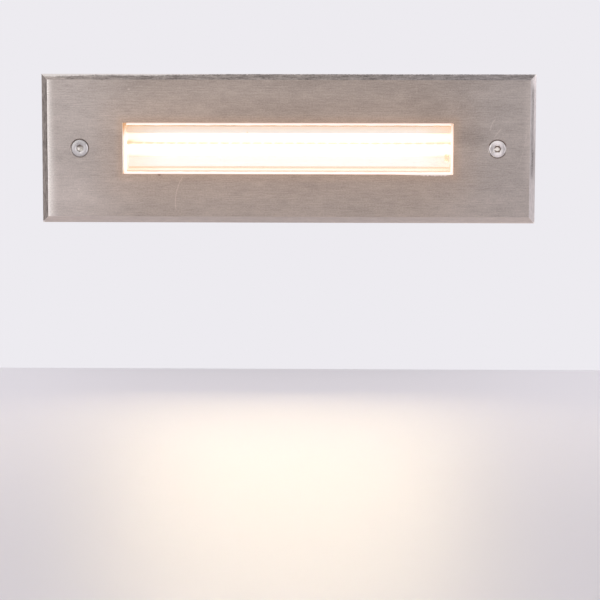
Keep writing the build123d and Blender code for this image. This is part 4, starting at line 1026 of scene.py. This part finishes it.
surround = {  # the ranges are of the direction that is looked in
    "pale": paint(237, 235, 240),
    "overhead": 0.12, "overheadZ": (0.25, 0.9),
    "screen": 0.62, "screenLeft": (0.3, 0.9), "screenFront": (0.1, 0.34),
}


def paleSurround(look):
    # one pale tone all round, a little darker overhead, and a dark screen at the left in front
    world = bpy.data.worlds.new("surround")
    scene.world = world
    world.use_nodes = True
    shade = Shade(world.node_tree)
    x, y, z = shade.split(shade.node("ShaderNodeTexCoord", {}, {}, "Generated"))
    screen = shade.step(-x, *look["screenLeft"]) * shade.step(-y, *look["screenFront"])
    dark = look["overhead"] * shade.step(z, *look["overheadZ"]) + look["screen"] * screen
    background = shade.tree.nodes["Background"]
    background.inputs["Color"].default_value = look["pale"]
    shade.tree.links.new((1 - dark).socket, background.inputs["Strength"])


paleSurround(surround)

softboxes = {  # metres and watts
    "left_softbox": {"place": (-0.6, -1.25, 0.5), "size": (0.6, 0.9), "watts": 2.4},
    "right_softbox": {"place": (1.15, -0.45, 0.35), "size": (0.5, 0.7), "watts": 1.1},
    "front_softbox": {"place": (0.24, -1.3, 0.06), "size": (0.22, 0.22), "watts": 0.08},
    "lamp_beam": {  # the light that leaves the window
        "place": (0, -0.0046, -0.003), "aim": (0, -0.5, -0.098), "size": (0.15, 0.014),
        "watts": 0.072, "spread": 90, "colour": (1, 0.82, 0.5), "body": "lamp",
    },
}


def softbox(name, place, size, watts, aim=(0, 0, 0), spread=180, colour=(1, 1, 1), body=None):
    # a flat lamp that faces aim and moves with its body, if it has one
    lamp = bpy.data.lights.new(name, "AREA")
    lamp.shape = "RECTANGLE"
    lamp.size, lamp.size_y = size
    lamp.energy = watts
    lamp.spread = math.radians(spread)
    lamp.color = colour
    made = addObject(name, lamp)
    made.location = place
    made.rotation_euler = (Vector(aim) - Vector(place)).to_track_quat("-Z", "Y").to_euler()
    if body:
        made.parent = frame["bodies"][body]


for name, settings in softboxes.items():
    softbox(name, **settings)
print("stage and lights set")

viewpoint = {  # metres, degrees and millimetres
    "place": (0.0186, -0.7513, -0.0046), "clipStart": 0.01,
    "yaw": -0.99, "pitch": -5.05, "roll": 0.13, "lens": 96, "sensor": 36,
}


def addCamera(fit):
    # looks along y, turned to the right by yaw and up by pitch; roll lifts its right side
    yaw, pitch, roll = (math.radians(fit[angle]) for angle in ("yaw", "pitch", "roll"))
    ahead = Vector((math.sin(yaw) * math.cos(pitch), math.cos(yaw) * math.cos(pitch), math.sin(pitch)))
    level = Vector((math.cos(yaw), -math.sin(yaw), 0))
    upright = level.cross(ahead)
    across = level * math.cos(roll) + upright * math.sin(roll)
    up = upright * math.cos(roll) - level * math.sin(roll)
    camera = bpy.data.cameras.new("camera")
    camera.lens = fit["lens"]
    camera.sensor_width = fit["sensor"]
    camera.clip_start = fit["clipStart"]
    made = addObject("camera", camera)
    made.matrix_world = Matrix.Translation(fit["place"]) @ Matrix((across, up, -ahead)).transposed().to_4x4()
    scene.camera = made


addCamera(viewpoint)
scene.view_settings.view_transform = "Standard"
print("camera set")
